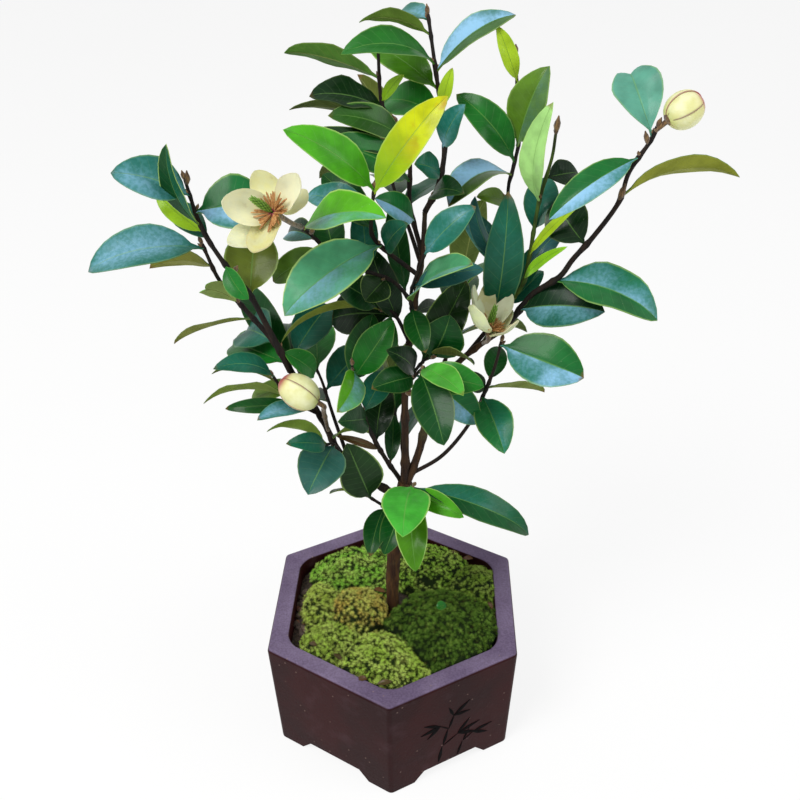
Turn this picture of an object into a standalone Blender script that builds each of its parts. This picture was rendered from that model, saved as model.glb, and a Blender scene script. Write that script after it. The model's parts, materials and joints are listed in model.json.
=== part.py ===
"""Potted banana shrub: a young Michelia figo in a six-sided footed clay pot, top-dressed with moss.

Metres, +Z up. X is to the right and -Y to the front. The origin is on the ground, under the middle of the
plant's spread. The tables of places below are in millimetres from the foot of the pot's axis, and one corner
of the pot points to the front.
"""

import math

import bmesh
import bpy
from mathutils import Matrix, Vector

MM = 0.001
GAP = 0.35
SPREAD_MIDDLE = (11.0, 0.0, 0.0)

# Pot
RIM_CORNER_RADIUS = 90.0
BASE_CORNER_RADIUS = 85.8
POT_HEIGHT = 83.0
RIM_WIDTH = 12.0
FLOOR_TOP = 14.0
FOOT_HEIGHT = 7.5
FOOT_DEPTH = 14.0
FOOT_SHARE_LOW = 0.20
FOOT_SHARE_HIGH = 0.28
DRAIN_RADIUS = 8.0
INNER_CORNER_ROUND = 8.0
EDGE_ROUND = 1.6

# Fill
SOIL_TOP = 72.0
ROOT_DEPTH = 24.0
SCREEN_SIDE = 26.0
SCREEN_THICKNESS = 1.0
SCREEN_CELLS = 4

# Leaves
LEAF_THICKNESS = 0.8
PETIOLE_SHARE = 0.10
PETIOLE_WIDTH = 1.3
LEAF_ARCH = 0.10
LEAF_FOLD = 0.30
TEPAL_CUP = 0.45


def collection(name):
    made = bpy.data.collections.new(name)
    bpy.context.scene.collection.children.link(made)
    return made


def material(name, colour, roughness):
    made = bpy.data.materials.new(name)
    made.use_nodes = True
    shader = made.node_tree.nodes["Principled BSDF"]
    shader.inputs["Base Color"].default_value = (*colour, 1.0)
    shader.inputs["Roughness"].default_value = roughness
    return made


for old in list(bpy.data.objects):
    bpy.data.objects.remove(old, do_unlink=True)

PARTS = collection("potted_banana_shrub")
CUTTERS = collection("cutters")

CLAY = material("purple_clay", (0.062, 0.030, 0.036), 0.42)
SOIL = material("potting_soil", (0.030, 0.019, 0.012), 0.95)
MESH_PLASTIC = material("screen_plastic", (0.02, 0.02, 0.02), 0.6)
MOSS = material("moss", (0.14, 0.24, 0.03), 0.95)
BARK = material("bark", (0.070, 0.045, 0.028), 0.8)
FOLIAGE = material("foliage", (0.022, 0.115, 0.026), 0.30)
PETAL = material("petal", (0.80, 0.76, 0.42), 0.45)
CROWN = material("flower_centre", (0.45, 0.26, 0.08), 0.6)


def mesh_object(name, bm, look, home=None):
    """A finished bmesh, in millimetres from the pot's axis, becomes an object in metres."""
    bmesh.ops.translate(bm, vec=-Vector(SPREAD_MIDDLE), verts=bm.verts)
    bmesh.ops.scale(bm, vec=(MM, MM, MM), verts=bm.verts)
    data = bpy.data.meshes.new(name)
    bm.to_mesh(data)
    bm.free()
    data.shade_smooth()
    data.set_sharp_from_angle(angle=math.radians(40))
    data.materials.append(look)
    made = bpy.data.objects.new(name, data)
    (home or PARTS).objects.link(made)
    if home is CUTTERS:
        made.hide_render = True
        made.display_type = "WIRE"
    return made


def boolean(target, operation, operand, own_crossings=False):
    cut = target.modifiers.new(f"{operation.lower()}_{operand.name}", "BOOLEAN")
    cut.operation = operation
    cut.object = operand
    cut.use_self = own_crossings


# ---------------------------------------------------------------- pot


def hexagon_frustum(low_radius, high_radius, bottom, top):
    """Six-sided frustum, with one corner on -Y as create_cone lays it."""
    bm = bmesh.new()
    bmesh.ops.create_cone(bm, cap_ends=True, segments=6, radius1=low_radius, radius2=high_radius,
                          depth=top - bottom, matrix=Matrix.Translation((0, 0, (top + bottom) / 2)))
    return bm


def round_upright_edges(bm, width, segments):
    upright = [e for e in bm.edges if abs(e.verts[0].co.z - e.verts[1].co.z) > 1]
    bmesh.ops.bevel(bm, geom=upright, offset=width, segments=segments, affect="EDGES", profile=0.5)


def wall_radius_at(height):
    """Outer corner radius of the pot at a height."""
    return BASE_CORNER_RADIUS + (RIM_CORNER_RADIUS - BASE_CORNER_RADIUS) * height / POT_HEIGHT


def inner_radius_at(height):
    """Corner radius of the hollow, before its corners are rounded."""
    return wall_radius_at(height) - RIM_WIDTH / math.cos(math.radians(30))


def make_pot():
    bm = hexagon_frustum(BASE_CORNER_RADIUS, RIM_CORNER_RADIUS, 0, POT_HEIGHT)
    round_upright_edges(bm, EDGE_ROUND, 2)
    rim = [e for e in bm.edges if all(v.co.z > POT_HEIGHT - 0.1 for v in e.verts)]
    bmesh.ops.bevel(bm, geom=rim, offset=EDGE_ROUND, segments=2, affect="EDGES", profile=0.5)
    pot = mesh_object("pot", bm, CLAY)

    top = POT_HEIGHT + 4
    bm = hexagon_frustum(inner_radius_at(FLOOR_TOP), inner_radius_at(top), FLOOR_TOP, top)
    round_upright_edges(bm, INNER_CORNER_ROUND, 3)
    boolean(pot, "DIFFERENCE", mesh_object("hollow", bm, CLAY, CUTTERS))

    bm = bmesh.new()
    bmesh.ops.create_cone(bm, cap_ends=True, segments=20, radius1=DRAIN_RADIUS, radius2=DRAIN_RADIUS,
                          depth=4 * FLOOR_TOP)
    boolean(pot, "DIFFERENCE", mesh_object("drain_hole", bm, CLAY, CUTTERS))

    recess_radius = BASE_CORNER_RADIUS - FOOT_DEPTH / math.cos(math.radians(30))
    bm = hexagon_frustum(recess_radius, recess_radius, -4, FOOT_HEIGHT)
    boolean(pot, "DIFFERENCE", mesh_object("foot_recess", bm, CLAY, CUTTERS))

    side = BASE_CORNER_RADIUS
    wide = side * (1 - 2 * FOOT_SHARE_LOW)
    narrow = side * (1 - 2 * FOOT_SHARE_HIGH)
    for index in range(3):
        bm = bmesh.new()
        bmesh.ops.create_cube(bm, size=1.0)
        for vert in bm.verts:
            low = vert.co.z < 0
            vert.co.x *= 2.4 * RIM_CORNER_RADIUS
            vert.co.y *= wide + (wide - narrow) * 0.5 if low else narrow
            vert.co.z = -FOOT_HEIGHT * 0.5 if low else FOOT_HEIGHT
        bmesh.ops.rotate(bm, verts=bm.verts, cent=(0, 0, 0),
                         matrix=Matrix.Rotation(math.radians(60 * index), 3, "Z"))
        boolean(pot, "DIFFERENCE", mesh_object(f"foot_gap_{index + 1}", bm, CLAY, CUTTERS))


def make_soil():
    low = inner_radius_at(FLOOR_TOP) - GAP
    high = inner_radius_at(SOIL_TOP) - GAP
    bm = hexagon_frustum(low, high, FLOOR_TOP + GAP, SOIL_TOP)
    round_upright_edges(bm, INNER_CORNER_ROUND, 3)
    soil = mesh_object("soil", bm, SOIL)

    bm = bmesh.new()
    bmesh.ops.create_cone(bm, cap_ends=True, segments=12, radius1=TRUNK_RADIUS[0] + 0.8,
                          radius2=TRUNK_RADIUS[0] + 0.8, depth=2 * (ROOT_DEPTH + GAP))
    bmesh.ops.translate(bm, verts=bm.verts, vec=(TRUNK[0][0], TRUNK[0][1], SOIL_TOP))
    boolean(soil, "DIFFERENCE", mesh_object("root_hole", bm, SOIL, CUTTERS))

    bm = bmesh.new()
    bmesh.ops.create_cube(bm, size=1.0)
    pocket = SCREEN_SIDE + 2 * SCREEN_THICKNESS + 2 * GAP
    bmesh.ops.scale(bm, verts=bm.verts, vec=(pocket, pocket, 2 * (SCREEN_THICKNESS + 2 * GAP)))
    bmesh.ops.translate(bm, verts=bm.verts, vec=(0, 0, FLOOR_TOP + GAP))
    boolean(soil, "DIFFERENCE", mesh_object("screen_pocket", bm, SOIL, CUTTERS))


def make_drain_screen():
    """Plastic net laid over the drain hole, under the soil."""
    bm = bmesh.new()
    half = SCREEN_SIDE / 2
    bmesh.ops.create_grid(bm, x_segments=SCREEN_CELLS, y_segments=SCREEN_CELLS, size=half)
    bmesh.ops.translate(bm, verts=bm.verts, vec=(0, 0, FLOOR_TOP + GAP + SCREEN_THICKNESS / 2))
    screen = mesh_object("drain_screen", bm, MESH_PLASTIC)
    net = screen.modifiers.new("net", "WIREFRAME")
    net.thickness = SCREEN_THICKNESS * MM
    net.use_boundary = True
    net.use_even_offset = True


# ---------------------------------------------------------------- moss

# name: (x, y), (half length in x, half length in y), height of the crown
MOSS_CUSHIONS = {
    "moss_back_left": ((-27, 33), (29, 26), 84),
    "moss_left": ((-48, 0), (12, 22), 83),
    "moss_left_front": ((-39, -33), (18, 18), 83),
    "moss_rust_mound": ((-24, -6), (21, 17), 90),
    "moss_front": ((-6, -52), (28, 26), 86),
    "moss_right_front": ((32, -22), (38, 34), 91),
    "moss_back_right": ((22, 38), (26, 24), 85),
    "moss_right": ((54, 18), (18, 22), 85),
}
MOSS_FOOT = SOIL_TOP + GAP


def keep_side(bm, place, outward):
    """Cut the cushion at a plane and close the cut."""
    geometry = bm.verts[:] + bm.edges[:] + bm.faces[:]
    cut = bmesh.ops.bisect_plane(bm, geom=geometry, plane_co=place, plane_no=outward, clear_outer=True)
    rim = [e for e in cut["geom_cut"] if isinstance(e, bmesh.types.BMEdge)]
    if rim:
        bmesh.ops.contextual_create(bm, geom=rim)


def make_moss():
    sites = {name: (Vector((*place, 0)), sum(half) / 2) for name, (place, half, top) in MOSS_CUSHIONS.items()}
    trunk_foot = Vector((TRUNK[1][0], TRUNK[1][1], 0))
    wall = inner_radius_at(MOSS_FOOT) * math.cos(math.radians(30)) - GAP
    corner = inner_radius_at(MOSS_FOOT) - INNER_CORNER_ROUND * math.cos(math.radians(60)) - GAP
    for name, (place, half, top) in MOSS_CUSHIONS.items():
        here, reach = sites[name]
        bm = bmesh.new()
        bmesh.ops.create_uvsphere(bm, u_segments=14, v_segments=8, radius=1.0)
        bmesh.ops.scale(bm, verts=bm.verts, vec=(half[0] * 1.12, half[1] * 1.12, top - MOSS_FOOT))
        bmesh.ops.translate(bm, verts=bm.verts, vec=(*place, MOSS_FOOT))
        keep_side(bm, (0, 0, MOSS_FOOT), (0, 0, -1))
        for other, (there, their_reach) in sites.items():
            if other != name:
                between = here.lerp(there, reach / (reach + their_reach))
                towards = (there - here).normalized()
                keep_side(bm, between - towards * GAP / 2, towards)
        to_trunk = (trunk_foot - here).normalized()
        keep_side(bm, trunk_foot - to_trunk * (TRUNK_RADIUS[0] + GAP), to_trunk)
        for index in range(12):
            angle = math.radians(30 * index)
            outward = Vector((math.cos(angle), math.sin(angle), 0))
            keep_side(bm, outward * (corner if index % 2 else wall), outward)
        bmesh.ops.recalc_face_normals(bm, faces=bm.faces)
        bmesh.ops.triangulate(bm, faces=[f for f in bm.faces if len(f.verts) > 4])
        mesh_object(name, bm, MOSS)


# ---------------------------------------------------------------- wood and leaves


def tube(name, points, radii, look, sides=6):
    """A tapering round bar through the points, made a welded mesh."""
    curve = bpy.data.curves.new(name, "CURVE")
    curve.dimensions = "3D"
    curve.bevel_depth = MM
    curve.bevel_resolution = (sides - 4) // 2
    curve.use_fill_caps = True
    spline = curve.splines.new("POLY")
    spline.points.add(len(points) - 1)
    for index, place in enumerate(points):
        spline.points[index].co = (*(Vector(place) * MM), 1.0)
        share = index / (len(points) - 1)
        spline.points[index].radius = radii[0] + (radii[1] - radii[0]) * share
    bar = bpy.data.objects.new(name, curve)
    PARTS.objects.link(bar)
    evaluated = bar.evaluated_get(bpy.context.evaluated_depsgraph_get())
    data = bpy.data.meshes.new_from_object(evaluated)
    bpy.data.objects.remove(bar, do_unlink=True)
    bm = bmesh.new()
    bm.from_mesh(data)
    bpy.data.meshes.remove(data)
    bmesh.ops.remove_doubles(bm, verts=bm.verts, dist=1e-6)
    bmesh.ops.recalc_face_normals(bm, faces=bm.faces)
    bmesh.ops.scale(bm, vec=(1 / MM, 1 / MM, 1 / MM), verts=bm.verts)
    return mesh_object(name, bm, look)


def place_at(points, share):
    """Point at a share of the length of a line of points, and the direction there."""
    points = [Vector(p) for p in points]
    lengths = [(b - a).length for a, b in zip(points, points[1:])]
    left = share * sum(lengths)
    index = 0
    while index < len(lengths) - 1 and left > lengths[index]:
        left -= lengths[index]
        index += 1
    a, b = points[index], points[index + 1]
    return a.lerp(b, min(left / lengths[index], 1.0)), (b - a).normalized()


def seat_on(carrier, share, towards, radius):
    """Where a bar of this radius starts, so that its end just clears the bar that carries it."""
    points, radii = CARRIERS[carrier]
    foot, along = place_at(points, share)
    out = (Vector(towards) - foot).normalized()
    carrier_radius = radii[0] + (radii[1] - radii[0]) * share
    cosine = abs(out.dot(along))
    sine = math.sqrt(max(1 - cosine * cosine, 1e-6))
    if share >= 0.999:
        return foot + out * (GAP + (carrier_radius + radius) * sine / (1 + cosine))
    return foot + out * ((carrier_radius + GAP + radius * cosine) / sine)


def route_from(carrier, share, points, radius):
    """The line of a bar. With no share it stands on the carrier's top, and its first point is its start."""
    line = [Vector(p) for p in points]
    return line if share is None else [seat_on(carrier, share, points[0], radius)] + line


def blade(bm, foot, tip, width, face, arch=LEAF_ARCH, fold=LEAF_FOLD, stalk=PETIOLE_SHARE, full=0.66):
    """One leaf or tepal: a four-sided spindle, spread flat, folded along its midrib and arched.

    face is the side that its upper surface looks to.
    """
    foot, tip = Vector(foot), Vector(tip)
    length = (tip - foot).length
    along = (tip - foot).normalized()
    up = Vector(face) - along * along.dot(Vector(face))
    up.normalize()
    across = along.cross(up)
    made = bmesh.ops.create_uvsphere(bm, u_segments=4, v_segments=6, radius=1.0)
    for vert in made["verts"]:
        share = (1 - vert.co.z) / 2
        side = round(vert.co.x / max(math.hypot(vert.co.x, vert.co.y), 1e-6))
        rise = round(vert.co.y / max(math.hypot(vert.co.x, vert.co.y), 1e-6))
        inner = max((share - stalk) / (1 - stalk), 0.0)
        half_width = 0.5 * max(width * math.sin(math.pi * inner ** 0.92) ** full, PETIOLE_WIDTH * (1 - share))
        thick = LEAF_THICKNESS * (0.25 + 0.75 * (1 - share))
        lift = arch * length * 4 * share * (1 - share) + fold * abs(side) * half_width
        vert.co = (foot + along * share * length + across * side * half_width
                   + up * (lift + rise * thick / 2))


def branch(name, carrier, share, points, radii, leaves):
    """A twig with the leaves that grow from it, in one piece.

    Each leaf is (share along the twig, place of its tip, width, side that it faces) and, where it isn't
    LEAF_ARCH, the rise of its arch as a share of its length.
    """
    route = route_from(carrier, share, points, radii[0])
    CARRIERS[name] = (route, radii)
    twig = tube(name, route, radii, FOLIAGE)
    bm = bmesh.new()
    for where, tip, width, face, *bow in leaves:
        foot, _ = place_at(route, where)
        blade(bm, foot, tip, width, face, *bow)
    boolean(twig, "UNION", mesh_object(f"{name}_leaves", bm, FOLIAGE, CUTTERS), own_crossings=True)


CARRIERS = {}

TRUNK = [(-1, 0, SOIL_TOP - ROOT_DEPTH), (-1, 0, 78), (-1, 0, 104), (1, 0, 130), (4, 0, 155), (8, 0, 178)]
TRUNK_RADIUS = (5.4, 6.4)

# Bare wood: name: carrier, share along it, points, radii
STEMS = {
    "stem_centre": ("trunk", None, [(6.5, -2.6, 179.8), (9, 1, 200), (8, 1, 240), (10, 3, 270),
                                    (14, 7, 300), (18, 10, 328), (19, 12, 348)], (2.6, 1.7)),
    "stem_left": ("trunk", 0.90, [(-14, -3, 184), (-25, -5, 197), (-32, -8, 211), (-40, -12, 236),
                                  (-54, -16, 267)], (2.6, 1.8)),
    "stem_right": ("trunk", None, [(12.2, 1, 179.2), (16, 4, 200), (20, 7, 219), (26, 8, 239),
                                   (36, 7, 257), (47, 5, 270), (63, 3, 284)], (2.9, 1.7)),
}

# Leafy wood: name: carrier, share along it, twig points, radii, leaves
BRANCHES = {
    "branch_left_upper": ("stem_left", 1.0, [(-64, -20, 297), (-71, -23, 317), (-82, -27, 337),
                                             (-90, -30, 357), (-94, -33, 381)], (2.1, 0.9), [
        (0.93, (-124, -46, 389), 21, (0, -1, 1)),
        (0.80, (-97, -48, 402), 14, (-1, -2, 0)),
        (0.86, (-55, -25, 367), 30, (0, -1, 1)),
        (0.76, (-112, -22, 370), 10, (-1, -1, 1)),
        (0.42, (-68, -3, 345), 28, (0, -1, 1), 0.04),
        (0.60, (-69, -38, 321), 11, (-1, -1, 1)),
        (0.12, (-42, -3, 257), 14, (1, -1, 1)),
        (0.72, (-110, -6, 358), 14, (0, -1, 1)),
    ]),
    "branch_left_lower": ("stem_left", 0.96, [(-62, -11, 281), (-77, -9, 301), (-89, -8, 317),
                                              (-96, -8, 338)], (1.9, 1.0), [
        (0.97, (-152, -25, 331), 28, (0, -1, 2), 0.13),
        (0.84, (-130, 8, 318), 17, (0, 2, 1)),
        (0.56, (-95, -22, 319), 12, (-1, 0, 1)),
        (0.45, (-121, 0, 276), 14, (0, 1, 2), 0.05),
        (0.25, (-84, 18, 274), 28, (0, -1, 1)),
        (0.10, (-95, 25, 261), 21, (0, -1, 1)),
    ]),
    "branch_left_middle": ("stem_left", 0.72, [(-55, -19, 251), (-63, -21, 267)], (1.3, 0.9), [
        (0.97, (-91, -36, 280), 14, (0, -1, 2), 0.20),
        (0.82, (-96, -20, 269), 12, (0, 1, 1), 0.12),
        (0.45, (-103, -20, 250), 18, (0, 1, 1), 0.14),
        (0.34, (-90, -26, 249), 9, (0, -1, 1)),
        (0.18, (-69, -43, 253), 12, (0, -1, 2)),
    ]),
    "branch_left_back": ("stem_left", 0.80, [(-50, -6, 258), (-56, 4, 266)], (1.3, 0.8), [
        (0.90, (-62, 40, 268), 22, (0, -1, 1)),
        (0.40, (-82, 4, 236), 12, (0, -1, 1)),
        (0.95, (-36, 32, 284), 22, (0, -1, 1)),
        (0.80, (-88, 44, 292), 18, (-1, 0, 2)),
    ]),
    "branch_left_low": ("stem_left", 0.46, [(-33, -16, 219), (-37, -22, 222)], (1.2, 0.8), [
        (0.90, (-67, -30, 238), 17, (0, 1, 1), 0.14),
        (0.97, (-53, -46, 240), 12, (0, -1, 1)),
        (0.55, (-44, -50, 209), 27, (0, -1, 1)),
    ]),
    "branch_inner_left": ("trunk", None, [(4.2, 3.4, 180.4), (-3, 0, 196), (-10, -6, 216), (-16, -10, 237),
                                          (-19, -13, 256), (-20, -14, 270)], (1.7, 0.9), [
        (0.88, (-9, 0, 294), 20, (0, -1, 1)),
        (0.92, (2, -8, 294), 20, (0, -1, 1)),
        (0.96, (-25, -52, 264), 17, (1, -1, 1)),
        (0.62, (-26, -40, 250), 16, (1, -1, 1)),
        (0.66, (-3, 14, 250), 16, (0, -1, 1)),
        (0.50, (-32, -22, 228), 15, (0, 1, 1)),
        (0.35, (-31, -12, 222), 5, (0, -1, 1)),
        (0.42, (-4, 20, 236), 18, (0, -1, 1)),
        (0.20, (0, 24, 214), 10, (0, -1, 1)),
    ]),
    "branch_front": ("stem_centre", 0.42, [(13, -14, 262), (18, -26, 275)], (1.4, 0.9), [
        (0.90, (30, -58, 248), 22, (0, -1, 1)),
        (0.98, (39, -56, 278), 16, (0, -1, 2)),
        (0.85, (51, -32, 268), 18, (0, -1, 1)),
        (0.70, (50, -20, 237), 20, (0, -1, 1)),
        (0.60, (-8, -35, 268), 17, (0, -1, 1)),
    ]),
    "branch_right_low": ("stem_right", 0.09, [(30, 2, 199), (45, -2, 224), (53, -5, 247), (58, -7, 265),
                                              (61, -8, 282)], (1.4, 0.9), [
        (0.98, (104, -27, 271), 30, (0, -1, 1), 0.06),
        (0.66, (63, -40, 231), 21, (0, -1, 1)),
        (0.72, (90, 20, 234), 17, (0, 1, 1), 0.03),
        (0.70, (41, -8, 262), 11, (0, -1, 1)),
        (0.76, (62, 12, 268), 13, (0, -1, 1)),
    ]),
    "branch_right_far": ("stem_right", 1.0, [(70, 8, 291), (78, 6, 304), (90, -3, 318), (96, -5, 329),
                                             (105, -8, 343), (115, -11, 362), (118, -13, 378),
                                             (126, -15, 394), (128, -16, 401)], (1.9, 1.1), [
        (0.96, (117, 10, 421), 24, (0, -1, 1)),
        (0.72, (173, -5, 375), 20, (0, 1, 1), 0.13),
        (0.88, (79, -30, 361), 16, (0, -1, 1)),
        (0.50, (87, 12, 355), 24, (0, -1, 0)),
        (0.30, (139, -25, 306), 29, (0, -1, 2), 0.13),
        (0.10, (113, -14, 304), 29, (0, -1, 1)),
    ]),
    "branch_right_inner": ("stem_right", 0.88, [(66, 12, 295), (72, 8, 308), (74, 6, 320), (77, 7, 349),
                                                (79, 8, 361), (83, 9, 378), (84, 9, 390)], (1.4, 0.9), [
        (0.72, (79, -8, 410), 17, (-1, -1, 0), 0.16),
        (0.58, (84, 27, 362), 18, (0, -1, 1)),
        (0.48, (96, -10, 361), 5, (0, -1, 1)),
        (0.42, (92, 18, 336), 12, (0, -1, 1)),
        (0.36, (91, -10, 338), 6, (0, -1, 1)),
        (0.24, (84, 26, 326), 12, (0, -1, 1)),
        (0.20, (84, 18, 312), 11, (0, -1, 1)),
        (0.82, (98, 16, 368), 16, (0, -1, 1)),
    ]),
    "branch_right_top": ("stem_right", 0.76, [(58, 12, 285), (64, 14, 300), (64, 20, 333), (63, 24, 356),
                                              (65, 26, 366), (68, 28, 384), (66, 29, 400),
                                              (64, 30, 424)], (1.5, 0.7), [
        (0.16, (62, 7, 360), 21, (0, -1, 0)),
        (0.64, (31, 0, 357), 24, (-1, -1, 2), 0.20),
        (0.68, (35, 32, 404), 18, (0, -1, 1), 0.20),
        (0.73, (78, 16, 421), 22, (-1, -1, 0)),
        (0.92, (54, 26, 438), 9, (0, -1, 1)),
        (0.55, (46, 8, 358), 11, (0, -1, 1)),
        (0.35, (44, 6, 358), 13, (-1, -1, 0)),
        (0.33, (38, 28, 344), 15, (0, -1, 1)),
    ]),
    "branch_top": ("stem_centre", 1.0, [(26, 15, 362), (29, 20, 384), (24, 26, 417), (20, 30, 443)],
                   (1.7, 0.9), [
        (0.72, (63, 35, 442), 18, (0, -1, 3), 0.14),
        (0.55, (32, 18, 420), 7, (0, -1, 1)),
        (0.97, (3, 52, 438), 15, (0, -1, 2)),
        (0.90, (-13, 18, 442), 13, (0, 1, 1), 0.14),
        (0.76, (-21, 8, 430), 20, (0, -1, 2), 0.18),
        (0.64, (-12, 54, 426), 19, (0, -1, 1), 0.03),
        (0.50, (-4, 50, 396), 22, (0, -1, 1)),
        (0.35, (38, 4, 406), 14, (0, -1, 1)),
        (0.08, (38, -8, 366), 15, (0, -1, 1), 0.15),
        (0.22, (14, 6, 376), 15, (0, -1, 1)),
    ]),
    "branch_top_left": ("stem_centre", 0.87, [(11, 17, 350), (11, 20, 371), (7, 24, 388), (-3, 27, 399),
                                              (-5, 30, 429)], (1.5, 0.9), [
        (0.85, (-53, 40, 424), 18, (0, 1, 1), 0.06),
        (0.70, (-38, 12, 409), 20, (0, -1, 2), 0.08),
        (0.75, (8, 22, 416), 7, (0, -1, 1)),
        (0.58, (-51, 30, 398), 14, (0, 1, 1)),
        (0.55, (-28, 6, 401), 18, (0, -1, 1)),
        (0.35, (-30, -6, 391), 22, (0, -1, 1)),
        (0.45, (-40, -2, 395), 11, (0, -1, 1)),
        (0.16, (-6, 0, 360), 16, (1, -1, 1)),
    ]),
    "branch_centre_upper": ("stem_centre", 0.80, [(-6, -2, 337), (-8, -8, 352), (-6, -8, 368)], (1.5, 1.0), [
        (0.95, (29, -14, 415), 19, (0, -1, 1)),
        (0.84, (-42, 4, 360), 17, (0, -1, 1)),
        (0.46, (-52, -34, 311), 32, (-1, -3, 3), 0.12),
        (0.62, (-34, 14, 368), 18, (0, -1, 1)),
        (0.98, (-46, -22, 402), 20, (0, -1, 1)),
        (0.40, (10, -14, 352), 16, (0, -1, 1)),
    ]),
    "branch_flower": ("stem_centre", 0.70, [(3, 0, 313), (-12, -3, 321), (-26, -6, 328),
                                            (-36, -8, 340), (-42, -20, 352)], (1.4, 0.9), [
        (0.97, (0, -38, 366), 25, (0, -1, 2), 0.15),
        (0.72, (-61, -8, 317), 16, (0, -1, 1)),
        (0.30, (-12, -12, 308), 18, (0, -1, 1)),
        (0.42, (-14, 15, 352), 15, (0, -1, 1), -0.04),
        (0.62, (-34, 10, 352), 17, (0, -1, 1)),
        (0.10, (1, 26, 348), 13, (0, -1, 0), -0.06),
        (0.80, (-56, 18, 333), 15, (0, -1, 1)),
    ]),
    "branch_centre_right": ("stem_centre", 0.66, [(12, -9, 309), (14, -15, 321), (20, -13, 337)], (1.3, 0.8), [
        (0.95, (44, -14, 361), 17, (0, -1, 1)),
        (0.32, (42, -38, 341), 25, (0, -1, 2)),
        (0.60, (49, -18, 329), 14, (0, -1, 1)),
        (0.20, (20, -28, 286), 14, (0, -1, 1)),
        (0.08, (30, 33, 281), 10, (0, -1, 1)),
    ]),
    "branch_centre_low": ("stem_centre", 0.44, [(19, -5, 268), (23, -9, 272)], (1.2, 0.8), [
        (0.95, (33, -7, 297), 25, (0, -1, 0)),
        (0.85, (46, -24, 278), 16, (0, 1, 1)),
        (0.60, (42, 18, 306), 22, (0, -1, 1)),
        (0.30, (0, -26, 286), 15, (0, -1, 1)),
    ]),
    "branch_centre_left": ("stem_centre", 0.58, [(2, 2, 294), (-8, 4, 296)], (1.4, 0.9), [
        (0.80, (-58, -16, 287), 16, (0, 1, 1), 0.15),
        (0.60, (-34, 18, 282), 26, (0, -1, 1)),
        (0.95, (-30, -6, 318), 18, (0, -1, 1)),
        (0.40, (-11, 16, 326), 17, (0, -1, 1)),
        (0.70, (-4, 12, 262), 15, (0, -1, 1)),
    ]),
    "branch_low_front": ("trunk", 0.86, [(10, -12, 183), (13, -16, 190)], (1.3, 0.9), [
        (0.95, (8, -57, 186), 28, (0, -1, 3)),
        (0.80, (15, -52, 156), 19, (0, -1, 2)),
        (0.50, (-4, -36, 154), 16, (0, -1, 1)),
        (0.88, (84, -16, 155), 20, (0, -1, 2), 0.14),
        (0.60, (42, -32, 180), 13, (0, -1, 1)),
    ]),
    "branch_low_left": ("trunk", 0.80, [(-4, -6, 166), (-14, -9, 176)], (1.4, 0.9), [
        (0.95, (-25, -12, 216), 26, (1, -3, 1)),
        (0.90, (-36, -20, 187), 12, (0, 1, 1)),
        (0.50, (-12, -38, 155), 15, (0, -1, 1)),
    ]),
    "branch_back_low": ("trunk", 0.80, [(6, 14, 192), (2, 26, 206), (-2, 38, 226)], (1.5, 0.8), [
        (0.95, (-18, 58, 262), 24, (0, 1, 1)),
        (0.90, (22, 66, 252), 24, (0, 1, 1)),
        (0.60, (-34, 58, 212), 24, (0, 1, 1)),
        (0.50, (30, 56, 208), 22, (0, 1, 1)),
        (0.75, (-6, 84, 218), 22, (0, 1, 2)),
    ]),
    "branch_back_left": ("stem_left", 0.35, [(-34, 6, 222), (-42, 20, 240), (-48, 30, 246)], (1.4, 0.8), [
        (0.95, (-84, 48, 238), 22, (-1, 1, 2)),
        (0.90, (-54, 76, 250), 24, (0, 1, 2)),
        (0.60, (-66, 40, 206), 20, (-1, 1, 1)),
        (0.70, (-18, 48, 246), 22, (1, 1, 1)),
    ]),
    "branch_back_right": ("stem_right", 0.40, [(30, 20, 250), (38, 34, 272), (42, 44, 298)], (1.4, 0.8), [
        (0.95, (52, 64, 336), 24, (0, 1, 1)),
        (0.90, (78, 62, 300), 22, (1, 1, 1)),
        (0.70, (44, 86, 280), 24, (0, 1, 2)),
        (0.55, (80, 46, 262), 22, (1, 1, 1)),
        (0.40, (26, 66, 250), 22, (0, 1, 1)),
    ]),
    "branch_back_top": ("stem_centre", 0.84, [(10, 26, 334), (2, 40, 350), (-4, 52, 372)], (1.4, 0.8), [
        (0.95, (-18, 74, 404), 22, (0, 1, 1)),
        (0.90, (22, 82, 384), 24, (0, 1, 1)),
        (0.70, (-42, 66, 350), 24, (-1, 1, 1)),
        (0.55, (-6, 84, 340), 24, (0, 1, 2)),
        (0.45, (38, 58, 350), 22, (1, 1, 1)),
    ]),
}


def make_shrub():
    CARRIERS["trunk"] = ([Vector(p) for p in TRUNK], TRUNK_RADIUS)
    tube("trunk", TRUNK, TRUNK_RADIUS, BARK, sides=10)
    for name, (carrier, share, points, radii) in STEMS.items():
        route = route_from(carrier, share, points, radii[0])
        CARRIERS[name] = (route, radii)
        tube(name, route, radii, BARK, sides=8)
    for name, (carrier, share, points, radii, leaves) in BRANCHES.items():
        branch(name, carrier, share, points, radii, leaves)


# ---------------------------------------------------------------- flowers and buds

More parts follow.
